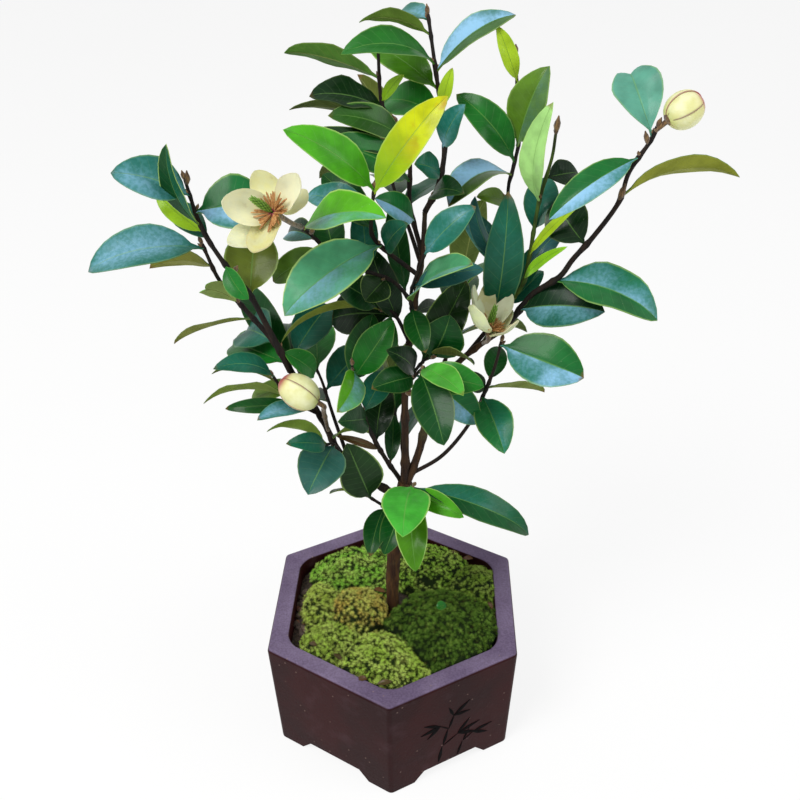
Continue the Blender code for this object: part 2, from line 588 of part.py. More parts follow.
# name: carrier, share along it, stalk points, centre, axis, then for each tepal its tip and its width. The
# tepals of the outer and the inner whorl follow each other in turn.
FLOWERS = {
    "flower_left": ("branch_flower", 1.0, [(-45, -34, 360)], (-49, -48, 370), (-4, -8, 5), [
        ((-60, -40, 388), 17),
        ((-71, -58, 379), 19),
        ((-70, -67, 363), 16),
        ((-57, -68, 359), 18),
        ((-36, -41, 379), 12),
        ((-37, -50, 389), 16),
    ]),
    "flower_right": ("stem_right", 0.88, [(54, -5, 281)], (53, -9, 286.5), (2, 1, 12), [
        ((54, 4, 314), 12),
        ((45, -2, 311), 12),
        ((67, -1, 299), 9),
        ((66, 2, 304), 12),
        ((69, -15, 300), 13),
        ((44, -20, 308), 15),
    ]),
}
RECEPTACLE_RADIUS = 3.0
WHORL_GAP = 3.2
OUTER_CUP = 0.15
PISTIL_LENGTH = 9.0

# name: carrier, share along it, stalk points, foot of the bud, its tip, diameter
BUDS = {
    "bud_right": ("branch_right_far", 0.985, [(131, -17, 403)], (132, -17, 404.5), (147.5, -13, 412.5), 17.5),
    "bud_left": ("stem_left", 0.60, [(-36, -24, 246), (-35, -31, 254)], (-38.5, -31, 256),
                 (-57.5, -26, 267), 18.5),
}


def make_flower(name, carrier, share, stalk, centre, axis, tepals):
    centre = Vector(centre)
    axis = Vector(axis).normalized()
    route = [seat_on(carrier, share, stalk[0], 1.1)] + [Vector(p) for p in stalk] + [centre]
    heart = tube(f"{name}_centre", route, (1.1, 1.1), CROWN)
    turn = axis.to_track_quat("Z", "Y").to_matrix().to_4x4()
    bm = bmesh.new()
    bmesh.ops.create_uvsphere(bm, u_segments=8, v_segments=6, radius=RECEPTACLE_RADIUS,
                              matrix=Matrix.Translation(centre) @ turn)
    middle = centre + axis * PISTIL_LENGTH / 2
    bmesh.ops.create_cone(bm, cap_ends=True, segments=8, radius1=1.9, radius2=0.8, depth=PISTIL_LENGTH,
                          matrix=Matrix.Translation(middle) @ turn)
    boolean(heart, "UNION", mesh_object(f"{name}_pistil", bm, CROWN, CUTTERS), own_crossings=True)
    for index, (tip, width) in enumerate(tepals):
        inner = index % 2
        shift = axis * WHORL_GAP * (inner - 0.5)
        out = (Vector(tip) - centre).normalized()
        foot = centre + (out * RECEPTACLE_RADIUS + shift).normalized() * (RECEPTACLE_RADIUS + GAP)
        bm = bmesh.new()
        blade(bm, foot, Vector(tip) + shift, width, axis, arch=-0.14, fold=TEPAL_CUP if inner else OUTER_CUP,
              stalk=0.12, full=0.62)
        mesh_object(f"{name}_tepal_{index + 1}", bm, PETAL)


def make_bud(name, carrier, share, stalk, foot, tip, diameter):
    foot, tip = Vector(foot), Vector(tip)
    route = [seat_on(carrier, share, stalk[0], 1.2)] + [Vector(p) for p in stalk]
    route += [foot.lerp(tip, 0.2)]
    body = tube(name, route, (1.2, 1.2), PETAL)
    turn = (tip - foot).to_track_quat("Z", "Y").to_matrix().to_4x4()
    bm = bmesh.new()
    bmesh.ops.create_uvsphere(bm, u_segments=12, v_segments=8, radius=0.5)
    for vert in bm.verts:
        narrowing = 1 - 0.16 * max(vert.co.z * 2, 0) ** 2
        vert.co = (vert.co.x * diameter * narrowing, vert.co.y * diameter * narrowing,
                   vert.co.z * (tip - foot).length)
    bmesh.ops.transform(bm, verts=bm.verts, matrix=Matrix.Translation((foot + tip) / 2) @ turn)
    boolean(body, "UNION", mesh_object(f"{name}_body", bm, PETAL, CUTTERS))


make_pot()
make_soil()
make_drain_screen()
make_moss()
make_shrub()
for flower, facts in FLOWERS.items():
    make_flower(flower, *facts)
for bud, facts in BUDS.items():
    make_bud(bud, *facts)
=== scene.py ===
"""Potted banana shrub: a young Michelia figo in flower, in a footed six-sided clay pot dressed with moss.

Lengths in the tables are millimetres from the foot of the pot's axis, as a grower would measure them:
x to the right, y to the back, z up from the ground.
"""

import contextlib
import json
import math
import random

import bmesh
import bpy
import numpy as np
from mathutils import Matrix, Vector

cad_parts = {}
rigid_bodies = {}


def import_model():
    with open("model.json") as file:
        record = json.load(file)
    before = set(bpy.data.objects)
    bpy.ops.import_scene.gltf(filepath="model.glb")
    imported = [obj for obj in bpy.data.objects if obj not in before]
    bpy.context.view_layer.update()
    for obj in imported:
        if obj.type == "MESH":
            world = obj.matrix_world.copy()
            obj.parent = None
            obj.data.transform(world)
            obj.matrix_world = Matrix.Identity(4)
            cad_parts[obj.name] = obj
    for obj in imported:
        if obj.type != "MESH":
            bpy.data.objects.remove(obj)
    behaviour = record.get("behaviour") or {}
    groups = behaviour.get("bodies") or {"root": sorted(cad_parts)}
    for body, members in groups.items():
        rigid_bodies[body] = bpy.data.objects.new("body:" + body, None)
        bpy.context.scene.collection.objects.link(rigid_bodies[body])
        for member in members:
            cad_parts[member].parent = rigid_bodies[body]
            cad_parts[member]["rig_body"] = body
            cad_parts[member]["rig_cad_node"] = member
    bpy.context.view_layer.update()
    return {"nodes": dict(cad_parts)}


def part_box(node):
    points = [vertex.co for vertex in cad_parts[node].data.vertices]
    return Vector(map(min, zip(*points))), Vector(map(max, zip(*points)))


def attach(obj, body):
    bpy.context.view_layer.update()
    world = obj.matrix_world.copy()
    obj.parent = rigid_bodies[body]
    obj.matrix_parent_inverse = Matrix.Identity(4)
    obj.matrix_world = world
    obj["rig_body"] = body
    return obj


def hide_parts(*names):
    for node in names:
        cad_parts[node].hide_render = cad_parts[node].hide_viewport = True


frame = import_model()


# ---------------------------------------------------------------- clay pot
# A six-sided pot of purple clay, built from slabs and fired unglazed, with a flat rim 12 mm wide and a
# foot left standing at each corner. Faces that turn upwards, the rim most of all, are painted lighter and
# bluer as a painted highlight of the light from above, and the walls stay darker.

pot_low, pot_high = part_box("pot")
POT_AXIS = Vector(((pot_low.x + pot_high.x) / 2, (pot_low.y + pot_high.y) / 2, 0.0))
MM = 0.001


def mm(x, y, z):
    """A place measured from the foot of the pot's axis, in the row frame."""
    return POT_AXIS + Vector((x, y, z)) * MM


def srgb(red, green, blue):
    """A colour as it shows on a display, from 0 to 255, made linear."""
    shares = [channel / 255 for channel in (red, green, blue)]
    return tuple(s / 12.92 if s <= 0.04045 else ((s + 0.055) / 1.055) ** 2.4 for s in shares)


class Wire:
    """One output of a shader node. Sums written with wires become Math nodes."""

    def __init__(self, socket):
        self.socket = socket

    def node(self, kind, settings=None, sockets=None, output=0):
        """Add a node: its type, its settings, then the value or wire of each of its sockets."""
        made = self.socket.id_data.nodes.new(kind)
        for name, value in (settings or {}).items():
            if name == "stops":
                ramp = made.color_ramp.elements
                for index, (place, colour) in enumerate(value):
                    stop = ramp[index] if index < 2 else ramp.new(place)
                    stop.position = place
                    stop.color = (*colour, 1.0)
            else:
                setattr(made, name, value)
        for name, value in (sockets or {}).items():
            if isinstance(value, Wire):
                self.socket.id_data.links.new(value.socket, made.inputs[name])
            elif isinstance(value, tuple) and made.inputs[name].type == "RGBA":
                made.inputs[name].default_value = (*value, 1.0)
            else:
                made.inputs[name].default_value = value
        return Wire(made.outputs[output])

    def math(self, operation, *values):
        """A Math node on these values or wires."""
        return self.node("ShaderNodeMath", {"operation": operation}, dict(enumerate(values)))

    def __add__(self, other):
        return self.math("ADD", self, other)

    def __radd__(self, other):
        return self.math("ADD", other, self)

    def __sub__(self, other):
        return self.math("SUBTRACT", self, other)

    def __rsub__(self, other):
        return self.math("SUBTRACT", other, self)

    def __mul__(self, other):
        return self.math("MULTIPLY", self, other)

    def __rmul__(self, other):
        return self.math("MULTIPLY", other, self)

    def __abs__(self):
        return self.math("ABSOLUTE", self)

    def noise(self, scale, detail=3.0, stretch=None):
        """Noise over this wire's places, in waves per metre, stretched along an axis where asked."""
        places = self
        if stretch:
            places = self.node("ShaderNodeMapping", sockets={"Vector": self, "Scale": stretch})
        return self.node("ShaderNodeTexNoise", sockets={"Vector": places, "Scale": scale, "Detail": detail})

    def cells(self, scale):
        """How far these places are from the middle of their cell, cells per metre."""
        return self.node("ShaderNodeTexVoronoi", sockets={"Vector": self, "Scale": scale})

    def between(self, low, high):
        """A soft step of this wire from one value to another."""
        return self.node("ShaderNodeMapRange", {"interpolation_type": "SMOOTHSTEP"},
                         {0: self, 1: low, 2: high})

    def mix(self, first, second, blend="MIX"):
        """Two colours mixed by this wire."""
        return self.node("ShaderNodeMix", {"data_type": "RGBA", "blend_type": blend},
                         {0: self, 6: first, 7: second}, output=2)

    def attribute(self, name, output="Fac"):
        """What is written on the piece's points under this name."""
        return self.node("ShaderNodeAttribute", {"attribute_name": name}, output=output)

    def feed(self, name):
        """Lead this wire to a socket of the material's own shader."""
        tree = self.socket.id_data
        tree.links.new(self.socket, tree.nodes["Principled BSDF"].inputs[name])

    def relief(self, depth):
        """Lead this wire, as a height in shares of a depth in metres, to the shader's normal."""
        bump = self.node("ShaderNodeBump", sockets={"Height": self, "Distance": depth, "Strength": 1.0})
        bump.feed("Normal")


def finish(name, **plain):
    """A new material, and the wire of its places on the piece. Plain values go on the shader itself."""
    made = bpy.data.materials.new(name)
    made.use_nodes = True
    shader = made.node_tree.nodes["Principled BSDF"]
    for socket, value in plain.items():
        shader.inputs[socket.replace("_", " ")].default_value = value
    return made, Wire(made.node_tree.nodes.new("ShaderNodeTexCoord").outputs["Object"])


purple_clay, place = finish("purple_clay", Specular_IOR_Level=0.08)
facing = place.node("ShaderNodeNewGeometry", output="Normal")
upward = facing.node("ShaderNodeSeparateXYZ", sockets={0: facing}, output=2)
# Faces turned upwards, the rim most of all, take the lighter, bluer rim colour: a painted highlight of the
# light from above.
painted_top_light = upward.between(0.45, 0.9)
clouds = place.noise(28.0, 4.0)
grain = place.noise(900.0)
pits = place.cells(330.0).between(0.10, 0.16)
flecks = place.cells(150.0).between(0.05, 0.09)
dust = place.noise(75.0, 5.0).between(0.56, 0.78)
wall = clouds.between(0.35, 0.65).mix(srgb(36, 9, 10), srgb(50, 16, 17))
rim = clouds.between(0.35, 0.65).mix(srgb(106, 92, 120), srgb(126, 112, 140))
body = painted_top_light.mix(wall, rim)
body = (grain.between(0.3, 0.7) * 0.30).mix(body, srgb(44, 24, 27))
body = ((1 - flecks) * 0.5).mix(body, srgb(150, 126, 116))
(dust * 0.09).mix(body, srgb(130, 112, 120)).feed("Base Color")
(0.40 + 0.16 * clouds + 0.12 * dust - 0.06 * painted_top_light).feed("Roughness")
(grain * 0.35 + pits * 0.45 + clouds * 0.6).relief(0.0005)


def only(*pieces):
    """Select these pieces and nothing else."""
    bpy.ops.object.select_all(action="DESELECT")
    for piece in pieces:
        piece.select_set(True)
    bpy.context.view_layer.objects.active = pieces[-1]


def settle(piece):
    """Put a piece's place into its mesh."""
    only(piece)
    bpy.ops.object.transform_apply(location=True, rotation=True, scale=True)


def begin(add, name, **sizes):
    """Add a primitive with nothing else selected."""
    bpy.ops.object.select_all(action="DESELECT")
    add(**sizes)
    made = bpy.context.object
    made.name = name
    settle(made)
    return made


@contextlib.contextmanager
def editing(piece):
    """Open one piece in edit mode, all of it selected, and close it after the work on it."""
    only(piece)
    bpy.ops.object.mode_set(mode="EDIT")
    bpy.ops.mesh.select_all(action="SELECT")
    yield
    bpy.ops.object.mode_set(mode="OBJECT")


def pick(piece, kind, test):
    """In edit mode, select the verts, edges or faces that pass a test."""
    bpy.ops.mesh.select_mode(type=kind[:-1].upper())
    bpy.ops.mesh.select_all(action="DESELECT")
    edited = bmesh.from_edit_mesh(piece.data)
    for element in getattr(edited, kind):
        if test(element):
            element.select_set(True)
    bmesh.update_edit_mesh(piece.data)


def stretch(x, y, z, about=(0, 0, 0)):
    """Scale what is picked about a place."""
    bpy.ops.transform.resize(value=(x, y, z), center_override=about)


def nudge(x, y, z):
    """Move what is picked."""
    bpy.ops.transform.translate(value=(x, y, z))


def modify(piece, kind, **settings):
    """Add a modifier with its settings, and apply it."""
    made = piece.modifiers.new(kind.lower(), kind)
    for setting, value in settings.items():
        setattr(made, setting, value)
    only(piece)
    bpy.ops.object.modifier_apply(modifier=made.name)


def discard(*pieces):
    """Throw away blanks and tools that have done their work."""
    for piece in pieces:
        bpy.data.objects.remove(piece, do_unlink=True)


def cut_away(piece, tool):
    """Cut a tool's shape out of a piece."""
    modify(piece, "BOOLEAN", operation="DIFFERENCE", object=tool)
    discard(tool)


def smooth(piece, degrees=180):
    """Shade a piece softly across edges up to an angle."""
    only(piece)
    if degrees < 180:
        bpy.ops.object.shade_smooth_by_angle(angle=math.radians(degrees))
    else:
        bpy.ops.object.shade_smooth()


def wear(piece, *looks):
    """Give a piece its materials in order."""
    piece.data.materials.clear()
    for look in looks:
        piece.data.materials.append(look)


def deliver(piece, slot, *nodes):
    """A finished piece rides with the pot and stands for its CAD nodes."""
    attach(piece, "root")
    if nodes:
        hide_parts(*nodes)


RIM_CORNER = 90.0
BASE_CORNER = 85.8
POT_HEIGHT = 83.0
RIM_WIDTH = 12.0
POT_FLOOR = 14.0
FLOOR_TAPER = 0.954
FOOT_DEPTH = 14.0
FOOT_HEIGHT = 7.5
FOOT_GAP = 37.8
GAP_LENGTH = 220.0
FOOT_SPLAY = 1.55
DRAIN_RADIUS = 8.0
DRILL_LENGTH = 60.0
pot = begin(bpy.ops.mesh.primitive_cone_add, "clay_pot", vertices=6, radius1=BASE_CORNER * MM,
            radius2=RIM_CORNER * MM, depth=POT_HEIGHT * MM, location=mm(0, 0, POT_HEIGHT / 2))


def lies(edge, nearest, farthest):
    """Whether an edge's middle is this far from the pot's axis."""
    middle = (edge.verts[0].co + edge.verts[1].co) / 2 - POT_AXIS
    return nearest * MM < middle.xy.length < farthest * MM


def climbs(edge):
    """Whether an edge goes up a corner of the pot."""
    return abs(edge.verts[0].co.z - edge.verts[1].co.z) > POT_HEIGHT / 2 * MM


def rims(edge):
    """Whether an edge lies between the flat rim and a wall."""
    slopes = [abs(face.normal.z) for face in edge.link_faces]
    height = (edge.verts[0].co.z + edge.verts[1].co.z) / 2
    return height > (POT_HEIGHT - 0.1) * MM and max(slopes) > 0.9 > 0.5 > min(slopes)


with editing(pot):
    pick(pot, "faces", lambda face: face.normal.z > 0.9)
    bpy.ops.mesh.inset(thickness=RIM_WIDTH * MM)
    bpy.ops.mesh.extrude_region_move(TRANSFORM_OT_translate={"value": (0, 0, (POT_FLOOR - POT_HEIGHT) * MM)})
    stretch(FLOOR_TAPER, FLOOR_TAPER, 1, about=mm(0, 0, POT_FLOOR))
    pick(pot, "faces", lambda face: face.normal.z < -0.9)
    bpy.ops.mesh.inset(thickness=FOOT_DEPTH * MM)
    bpy.ops.mesh.extrude_region_move(TRANSFORM_OT_translate={"value": (0, 0, FOOT_HEIGHT * MM)})
    # The corners inside, then those outside with the rim's outer edge, then the rim's inner edge
    for radius, segments, test in (
            (8.0, 6, lambda edge: climbs(edge) and lies(edge, 60, 80)),
            (2.2, 4, lambda edge: climbs(edge) and lies(edge, 84, 95) or rims(edge) and lies(edge, 76, 95)),
            (1.4, 3, lambda edge: rims(edge) and lies(edge, 50, 76))):
        pick(pot, "edges", test)
        bpy.ops.mesh.bevel(offset=radius * MM, segments=segments, affect="EDGES")

for turn in range(3):
    gap = begin(bpy.ops.mesh.primitive_cube_add, f"foot_gap_{turn}", size=1.0)
    gap.scale = (GAP_LENGTH * MM, FOOT_GAP * MM, 1.5 * FOOT_HEIGHT * MM)
    gap.location = (0, 0, 0.25 * FOOT_HEIGHT * MM)
    settle(gap)
    with editing(gap):
        pick(gap, "verts", lambda vert: vert.co.z < 0)
        stretch(1, FOOT_SPLAY, 1)
        bpy.ops.mesh.select_all(action="SELECT")
        bpy.ops.transform.rotate(value=math.radians(60 * turn), orient_axis="Z", center_override=(0, 0, 0))
        nudge(*POT_AXIS)
    cut_away(pot, gap)
cut_away(pot, begin(bpy.ops.mesh.primitive_cylinder_add, "drill", vertices=48, radius=DRAIN_RADIUS * MM,
                    depth=DRILL_LENGTH * MM, location=POT_AXIS))
modify(pot, "BEVEL", width=0.7 * MM, segments=2, limit_method="ANGLE", angle_limit=math.radians(50))
smooth(pot, 35)
modify(pot, "WEIGHTED_NORMAL", keep_sharp=True)
wear(pot, purple_clay)
deliver(pot, "clay", "pot")


# ---------------------------------------------------------------- brushed sprig on the pot
# A sprig of bamboo brushed on one wall in dark slip before firing: three jointed canes and loose leaves,
# each a single stroke that swells and runs out to a point, lying a hair proud of the clay.

dark_slip, place = finish("dark_slip", Specular_IOR_Level=0.04)
worn_ink = place.noise(420.0, 4.0).between(0.42, 0.66)
(worn_ink * 0.5).mix(srgb(3, 3, 4), srgb(24, 16, 16)).feed("Base Color")
(0.60 + 0.25 * worn_ink).feed("Roughness")
place.noise(1500.0, 2.0).relief(0.0001)

STROKE_WIDTHS = (0.16, 0.42, 0.80, 1.0, 0.96, 0.80, 0.56, 0.30, 0.05)
STROKE_BODY = 0.25
stroke = begin(bpy.ops.mesh.primitive_grid_add, "stroke", x_subdivisions=2,
               y_subdivisions=len(STROKE_WIDTHS) - 1, size=1.0)
with editing(stroke):
    for row, share in enumerate(STROKE_WIDTHS):
        height = row / (len(STROKE_WIDTHS) - 1) - 0.5
        pick(stroke, "verts", lambda vert: abs(vert.co.y - height) < 0.01)
        stretch(share, 1, 1, about=(0, height, 0))
modify(stroke, "SOLIDIFY", thickness=STROKE_BODY * MM, offset=0.0)

WALL_TURN = math.radians(30)
WALL_LEAN = math.atan2((RIM_CORNER - BASE_CORNER) * math.cos(WALL_TURN), POT_HEIGHT)
across_wall = Vector((math.cos(WALL_TURN), math.sin(WALL_TURN), 0))
out_of_wall = Vector((math.sin(WALL_TURN) * math.cos(WALL_LEAN), -math.cos(WALL_TURN) * math.cos(WALL_LEAN),
                      -math.sin(WALL_LEAN)))
up_wall = out_of_wall.cross(across_wall)


def copy_of(piece):
    """A copy of a piece with a mesh of its own."""
    made = piece.copy()
    made.data = piece.data.copy()
    bpy.context.scene.collection.objects.link(made)
    return made


def join(name, *pieces):
    """Make one piece of several, the last of them first."""
    only(*pieces)
    bpy.ops.object.join()
    made = bpy.context.object
    made.name = name
    settle(made)
    return made


def standing(place, x, y, z):
    """The matrix that stands something at a place, its own axes along these three."""
    return Matrix.Translation(place) @ Matrix((x, y, z)).transposed().to_4x4()


# Each stroke: foot across and above the wall's foot, lean from upright in degrees, length, width
STROKES = [
    (-9, 14, 9, 15, 2.2), (-6.2, 29.6, 13, 14, 2.0), (-2.4, 43.8, 17, 11, 1.6), (5, 13, 16, 12, 1.5),
    (8.8, 25.2, 22, 11, 1.3), (-5.9, 29.0, 62, 12, 0.8), (-2.3, 43.2, -48, 9, 0.8), (9, 25, 58, 8, 0.7),
    (4.6, 34.6, 112, 15, 3.0), (4.8, 35.0, 78, 16, 2.6), (4.4, 35.2, 40, 13, 2.3), (-8.6, 49.0, -96, 14, 2.8),
    (-9.0, 49.4, -62, 13, 2.4), (-8.6, 49.6, -130, 12, 2.5), (0.8, 54.4, 52, 14, 2.6),
    (0.6, 54.2, 96, 12, 2.4), (15.8, 29.2, 118, 13, 2.6), (16.0, 29.4, 84, 14, 2.4),
    (0.4, 54.6, -22, 10, 2.0),
]
strokes = []
for across, height, lean, length, width in STROKES:
    run = across_wall * math.sin(math.radians(lean)) + up_wall * math.cos(math.radians(lean))
    side = run.cross(out_of_wall)
    to_wall = (BASE_CORNER + (RIM_CORNER - BASE_CORNER) * height / POT_HEIGHT) * math.cos(WALL_TURN) + 0.05
    foot = mm(0, 0, height) + (out_of_wall * to_wall + across_wall * across) * MM
    laid = copy_of(stroke)
    laid.matrix_world = standing(foot + run * length * 0.5 * MM,
                                 side * width * MM, run * length * MM, out_of_wall)
    strokes.append(laid)
discard(stroke)
sprig = join("brushed_sprig", *strokes)
with editing(sprig):
    bpy.ops.mesh.normals_make_consistent(inside=False)
smooth(sprig, 40)
wear(sprig, dark_slip)
deliver(sprig, "clay")


# ---------------------------------------------------------------- drain screen
# A square of black plastic net that keeps the soil from running out of the drain hole. Its shape in the CAD
# is right, so it only gets its finish.

black_net, place = finish("black_net", Roughness=0.55)
scuffs = place.noise(600.0)
scuffs.between(0.4, 0.7).mix(srgb(22, 22, 24), srgb(44, 44, 46)).feed("Base Color")
(0.45 + 0.25 * scuffs).feed("Roughness")
scuffs.relief(0.0001)
wear(frame["nodes"]["drain_screen"], black_net)


# ---------------------------------------------------------------- soil and grit
# Dark peat mixed with fired clay grit and a little bark, level a finger below the rim. It shows where the
# moss stops short of the wall, and between the cushions.

peat, place = finish("peat", Roughness=0.95)
crumbs = place.cells(420.0)
damp = place.noise(60.0, 4.0).between(0.4, 0.65)
earth = crumbs.between(0.1, 0.7).mix(srgb(34, 26, 22), srgb(82, 66, 54))
(damp * 0.5).mix(earth, srgb(28, 21, 18)).feed("Base Color")
(0.95 - 0.2 * damp).feed("Roughness")
(crumbs + 0.6 * place.noise(700.0)).relief(0.0012)
wear(frame["nodes"]["soil"], peat)

grit_clay, place = finish("grit_clay", Roughness=0.85)
grit = place.node("ShaderNodeValToRGB", {"stops": [
    (0.0, srgb(48, 38, 34)), (0.45, srgb(92, 76, 66)), (0.8, srgb(128, 110, 98)), (1.0, srgb(120, 66, 46)),
]}, {0: place.attribute("shade")})
(place.noise(500.0).between(0.35, 0.7) * 0.5).mix(grit, srgb(50, 40, 36)).feed("Base Color")
place.noise(1600.0).relief(0.0003)


def write(piece, word, values):
    """Write a number, or a colour, on each point of a piece for its material to read."""
    values = np.asarray(values, np.float32)
    kind, field = ("FLOAT_COLOR", "color") if values.ndim == 2 else ("FLOAT", "value")
    layer = piece.data.attributes.get(word) or piece.data.attributes.new(word, kind, "POINT")
    layer.data.foreach_set(field, values.ravel())


def mark(piece, **values):
    """Write the same values on all the points of a piece."""
    for word, value in values.items():
        write(piece, word, [value] * len(piece.data.vertices))


def places_in(piece):
    """The places of a piece's points, one row each."""
    flat = np.empty(len(piece.data.vertices) * 3)
    piece.data.vertices.foreach_get("co", flat)
    return flat.reshape(-1, 3)


def broadcast(name, blank, spots, look, slot, *nodes):
    """Copies of one small blank in one mesh. A spot is its matrix and its shade from 0 to 1."""
    blank_places = places_in(blank)
    count = len(blank_places)
    corners = np.column_stack((blank_places, np.ones(count)))
    faces = [tuple(face.vertices) for face in blank.data.polygons]
    places = np.concatenate([corners @ np.array(spot).T[:, :3] for spot, _ in spots])
    every_face = [tuple(vertex + count * copy for vertex in face)
                  for copy in range(len(spots)) for face in faces]
    data = bpy.data.meshes.new(name)
    data.from_pydata(places.tolist(), [], every_face)
    made = bpy.data.objects.new(name, data)
    bpy.context.scene.collection.objects.link(made)
    write(made, "shade", np.repeat([shade for _, shade in spots], count))
    write(made, "reach", np.tile(blank_places[:, 2] / blank_places[:, 2].max(), len(spots)))
    wear(made, look)
    deliver(made, slot, *nodes)
    return made


def turn_to(direction):
    """The turn that points Z along a direction."""
    return direction.to_track_quat("Z", "Y").to_matrix().to_4x4()


def facing_matrix(place, normal, spin, size):
    """Stand something at a place, its Z along a normal, turned about it and scaled."""
    return (Matrix.Translation(place) @ turn_to(normal) @ Matrix.Rotation(spin, 4, "Z")
            @ Matrix.Diagonal((*size, 1.0)))


SOIL_TOP = 72.2
INNER_WALL = 62.3
GRIT_COUNT = 260
chance = random.Random(3)
pebble = begin(bpy.ops.mesh.primitive_ico_sphere_add, "pebble", subdivisions=2, radius=1.0)
chips = bpy.data.textures.new("chips", "VORONOI")
chips.noise_scale = 0.9
modify(pebble, "DISPLACE", texture=chips, strength=0.35)
spots = []
for index in range(GRIT_COUNT):
    angle = math.radians(chance.uniform(110, 262)) if index % 3 else math.radians(chance.uniform(0, 360))
    sector = math.radians(math.degrees(angle) % 60 - 30)
    reach = min((INNER_WALL + chance.uniform(-9, 0.6)) / math.cos(sector), 69.0)
    size = chance.uniform(0.9, 2.6)
    spot = mm(reach * math.cos(angle), reach * math.sin(angle), SOIL_TOP + size * 0.35)
    lean = Vector((chance.uniform(-0.4, 0.4), chance.uniform(-0.4, 0.4), 1))
    spots.append((facing_matrix(spot, lean, chance.uniform(0, 6.28),
                                (size * MM, size * chance.uniform(0.7, 1) * MM, size * 0.7 * MM)),
                  chance.random()))
broadcast("soil_grit", pebble, spots, grit_clay, "soil")
discard(pebble)


# ---------------------------------------------------------------- moss
# Cushions of living moss laid side by side and pressed down: a soft lumpy bed, close set with star-shaped
# shoots three or four millimetres across. Some cushions are fresh green, one is dry and rust-coloured.
# The shoots darken towards their feet and the bed beneath them is dark: painted shade among the shoots.

moss_green, place = finish("moss_green", Roughness=0.9, Specular_IOR_Level=0.15)
shade = place.attribute("shade")
reach = place.attribute("reach")
patches = place.noise(95.0).between(0.38, 0.62)
dry = place.attribute("dry")
sunny = place.attribute("sunny")
painted_shade_deep = patches.mix(srgb(9, 22, 4), srgb(24, 38, 8))
bright = patches.mix(srgb(178, 244, 92), srgb(218, 250, 128))
rusty = patches.mix(srgb(238, 204, 104), srgb(246, 244, 130))
# How sunny a cushion is lifts its living shoots from deeper greens to bright tips and gives it more pale
# shoots: painted light.
live = sunny.mix(patches.mix(srgb(38, 90, 18), srgb(80, 134, 38)), bright)
# Low on each shoot the colour runs to near-black green: painted shade down among the shoots.
leafy = (reach * 0.75 + 0.35 * shade).between(0.16, 0.84).mix(painted_shade_deep, dry.mix(live, rusty))
leafy = (shade.between(0.82, 0.98) * (0.25 + 0.45 * sunny)).mix(leafy, srgb(176, 206, 92))
((1 - shade).between(0.86, 0.99) * (0.2 + 0.5 * dry)).mix(leafy, srgb(92, 60, 30)).feed("Base Color")
place.noise(1400.0).relief(0.0004)

# One shoot: a star of seven narrow leaves, with a smaller star standing over it
STAR_POINTS = 14
shoot = begin(bpy.ops.mesh.primitive_circle_add, "moss_shoot", vertices=STAR_POINTS, radius=1.0,
              fill_type="TRIFAN")


def between_leaves(vert):
    """Whether a point of the star lies in the gap between two leaves."""
    turn = round(math.degrees(math.atan2(vert.co.x, vert.co.y)) % 360 / (360 / STAR_POINTS))
    return vert.co.length > 0.9 and turn % 2 == 1


with editing(shoot):
    pick(shoot, "verts", between_leaves)
    stretch(0.30, 0.30, 1)
    pick(shoot, "verts", lambda vert: vert.co.length > 0.9)
    nudge(0, 0, 0.42)
    bpy.ops.mesh.select_all(action="SELECT")
    bpy.ops.mesh.duplicate_move(TRANSFORM_OT_translate={"value": (0, 0, 0.35)})
    stretch(0.62, 0.62, 1.3, about=(0, 0, 0.35))
    bpy.ops.transform.rotate(value=math.radians(26), orient_axis="Z", center_override=(0, 0, 0))

# name: how sunny the cushion is painted, as painted light, and how dry it is, shoots on it
CUSHIONS = {
    "moss_back_left": (1.0, 0.0, 900), "moss_left": (1.0, 0.40, 420), "moss_left_front": (0.90, 0.30, 520),
    "moss_rust_mound": (0.70, 0.90, 520), "moss_front": (1.0, 0.30, 900),
    "moss_right_front": (0.07, 0.05, 1500), "moss_back_right": (1.0, 0.15, 620),
    "moss_right": (0.55, 0.15, 420),
}
lumps = bpy.data.textures.new("lumps", "CLOUDS")
lumps.noise_scale = 7.0 * MM
for index, (name, (sun, dryness, count)) in enumerate(CUSHIONS.items()):
    chance = random.Random(20 + index)
    bed = copy_of(frame["nodes"][name])
    bed.name = f"{name}_bed"
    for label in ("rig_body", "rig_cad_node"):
        if label in bed:
            del bed[label]
    bed.parent = None
    bed.hide_render = False
    with editing(bed):
        bpy.ops.mesh.remove_doubles(threshold=0.02 * MM)
    modify(bed, "REMESH", mode="VOXEL", voxel_size=1.3 * MM)
    modify(bed, "SMOOTH", iterations=3)
    modify(bed, "DISPLACE", texture=lumps, texture_coords="GLOBAL", strength=3.4 * MM, mid_level=0.42)
    smooth(bed)
    tops = [face for face in bed.data.polygons if face.normal.z > 0.05]
    spots = []
    for face in chance.choices(tops, [face.area * (0.3 + face.normal.z) for face in tops], k=count):
        corner = bed.data.vertices[face.vertices[chance.randrange(len(face.vertices))]].co
        foot = face.center.lerp(corner, chance.random()) + face.normal * 0.1 * MM
        lean = face.normal + Vector((chance.uniform(-0.5, 0.5), chance.uniform(-0.5, 0.5), 0.35))
        wide = chance.uniform(1.3, 2.3) * MM
        spots.append((facing_matrix(foot, lean.normalized(), chance.uniform(0, 6.28),
                                    (wide, wide, wide * chance.uniform(0.9, 1.5))), chance.random()))
    # The bed is marked as low on the shoots, so it takes the dark painted shade between them.
    mark(bed, shade=0.3, reach=0.1)
    wear(bed, moss_green)
    shoots = broadcast(f"{name}_shoots", shoot, spots, moss_green, "moss", name)
    mark(join(shoots.name, bed, shoots), sunny=sun, dry=dryness)
discard(shoot)


# ---------------------------------------------------------------- trunk and stems
# One trunk the width of a finger that parts into three stems. The bark is thin, grey-brown and finely
# cracked below, and smoother and redder on the younger stems, with raised rings where leaves have fallen.

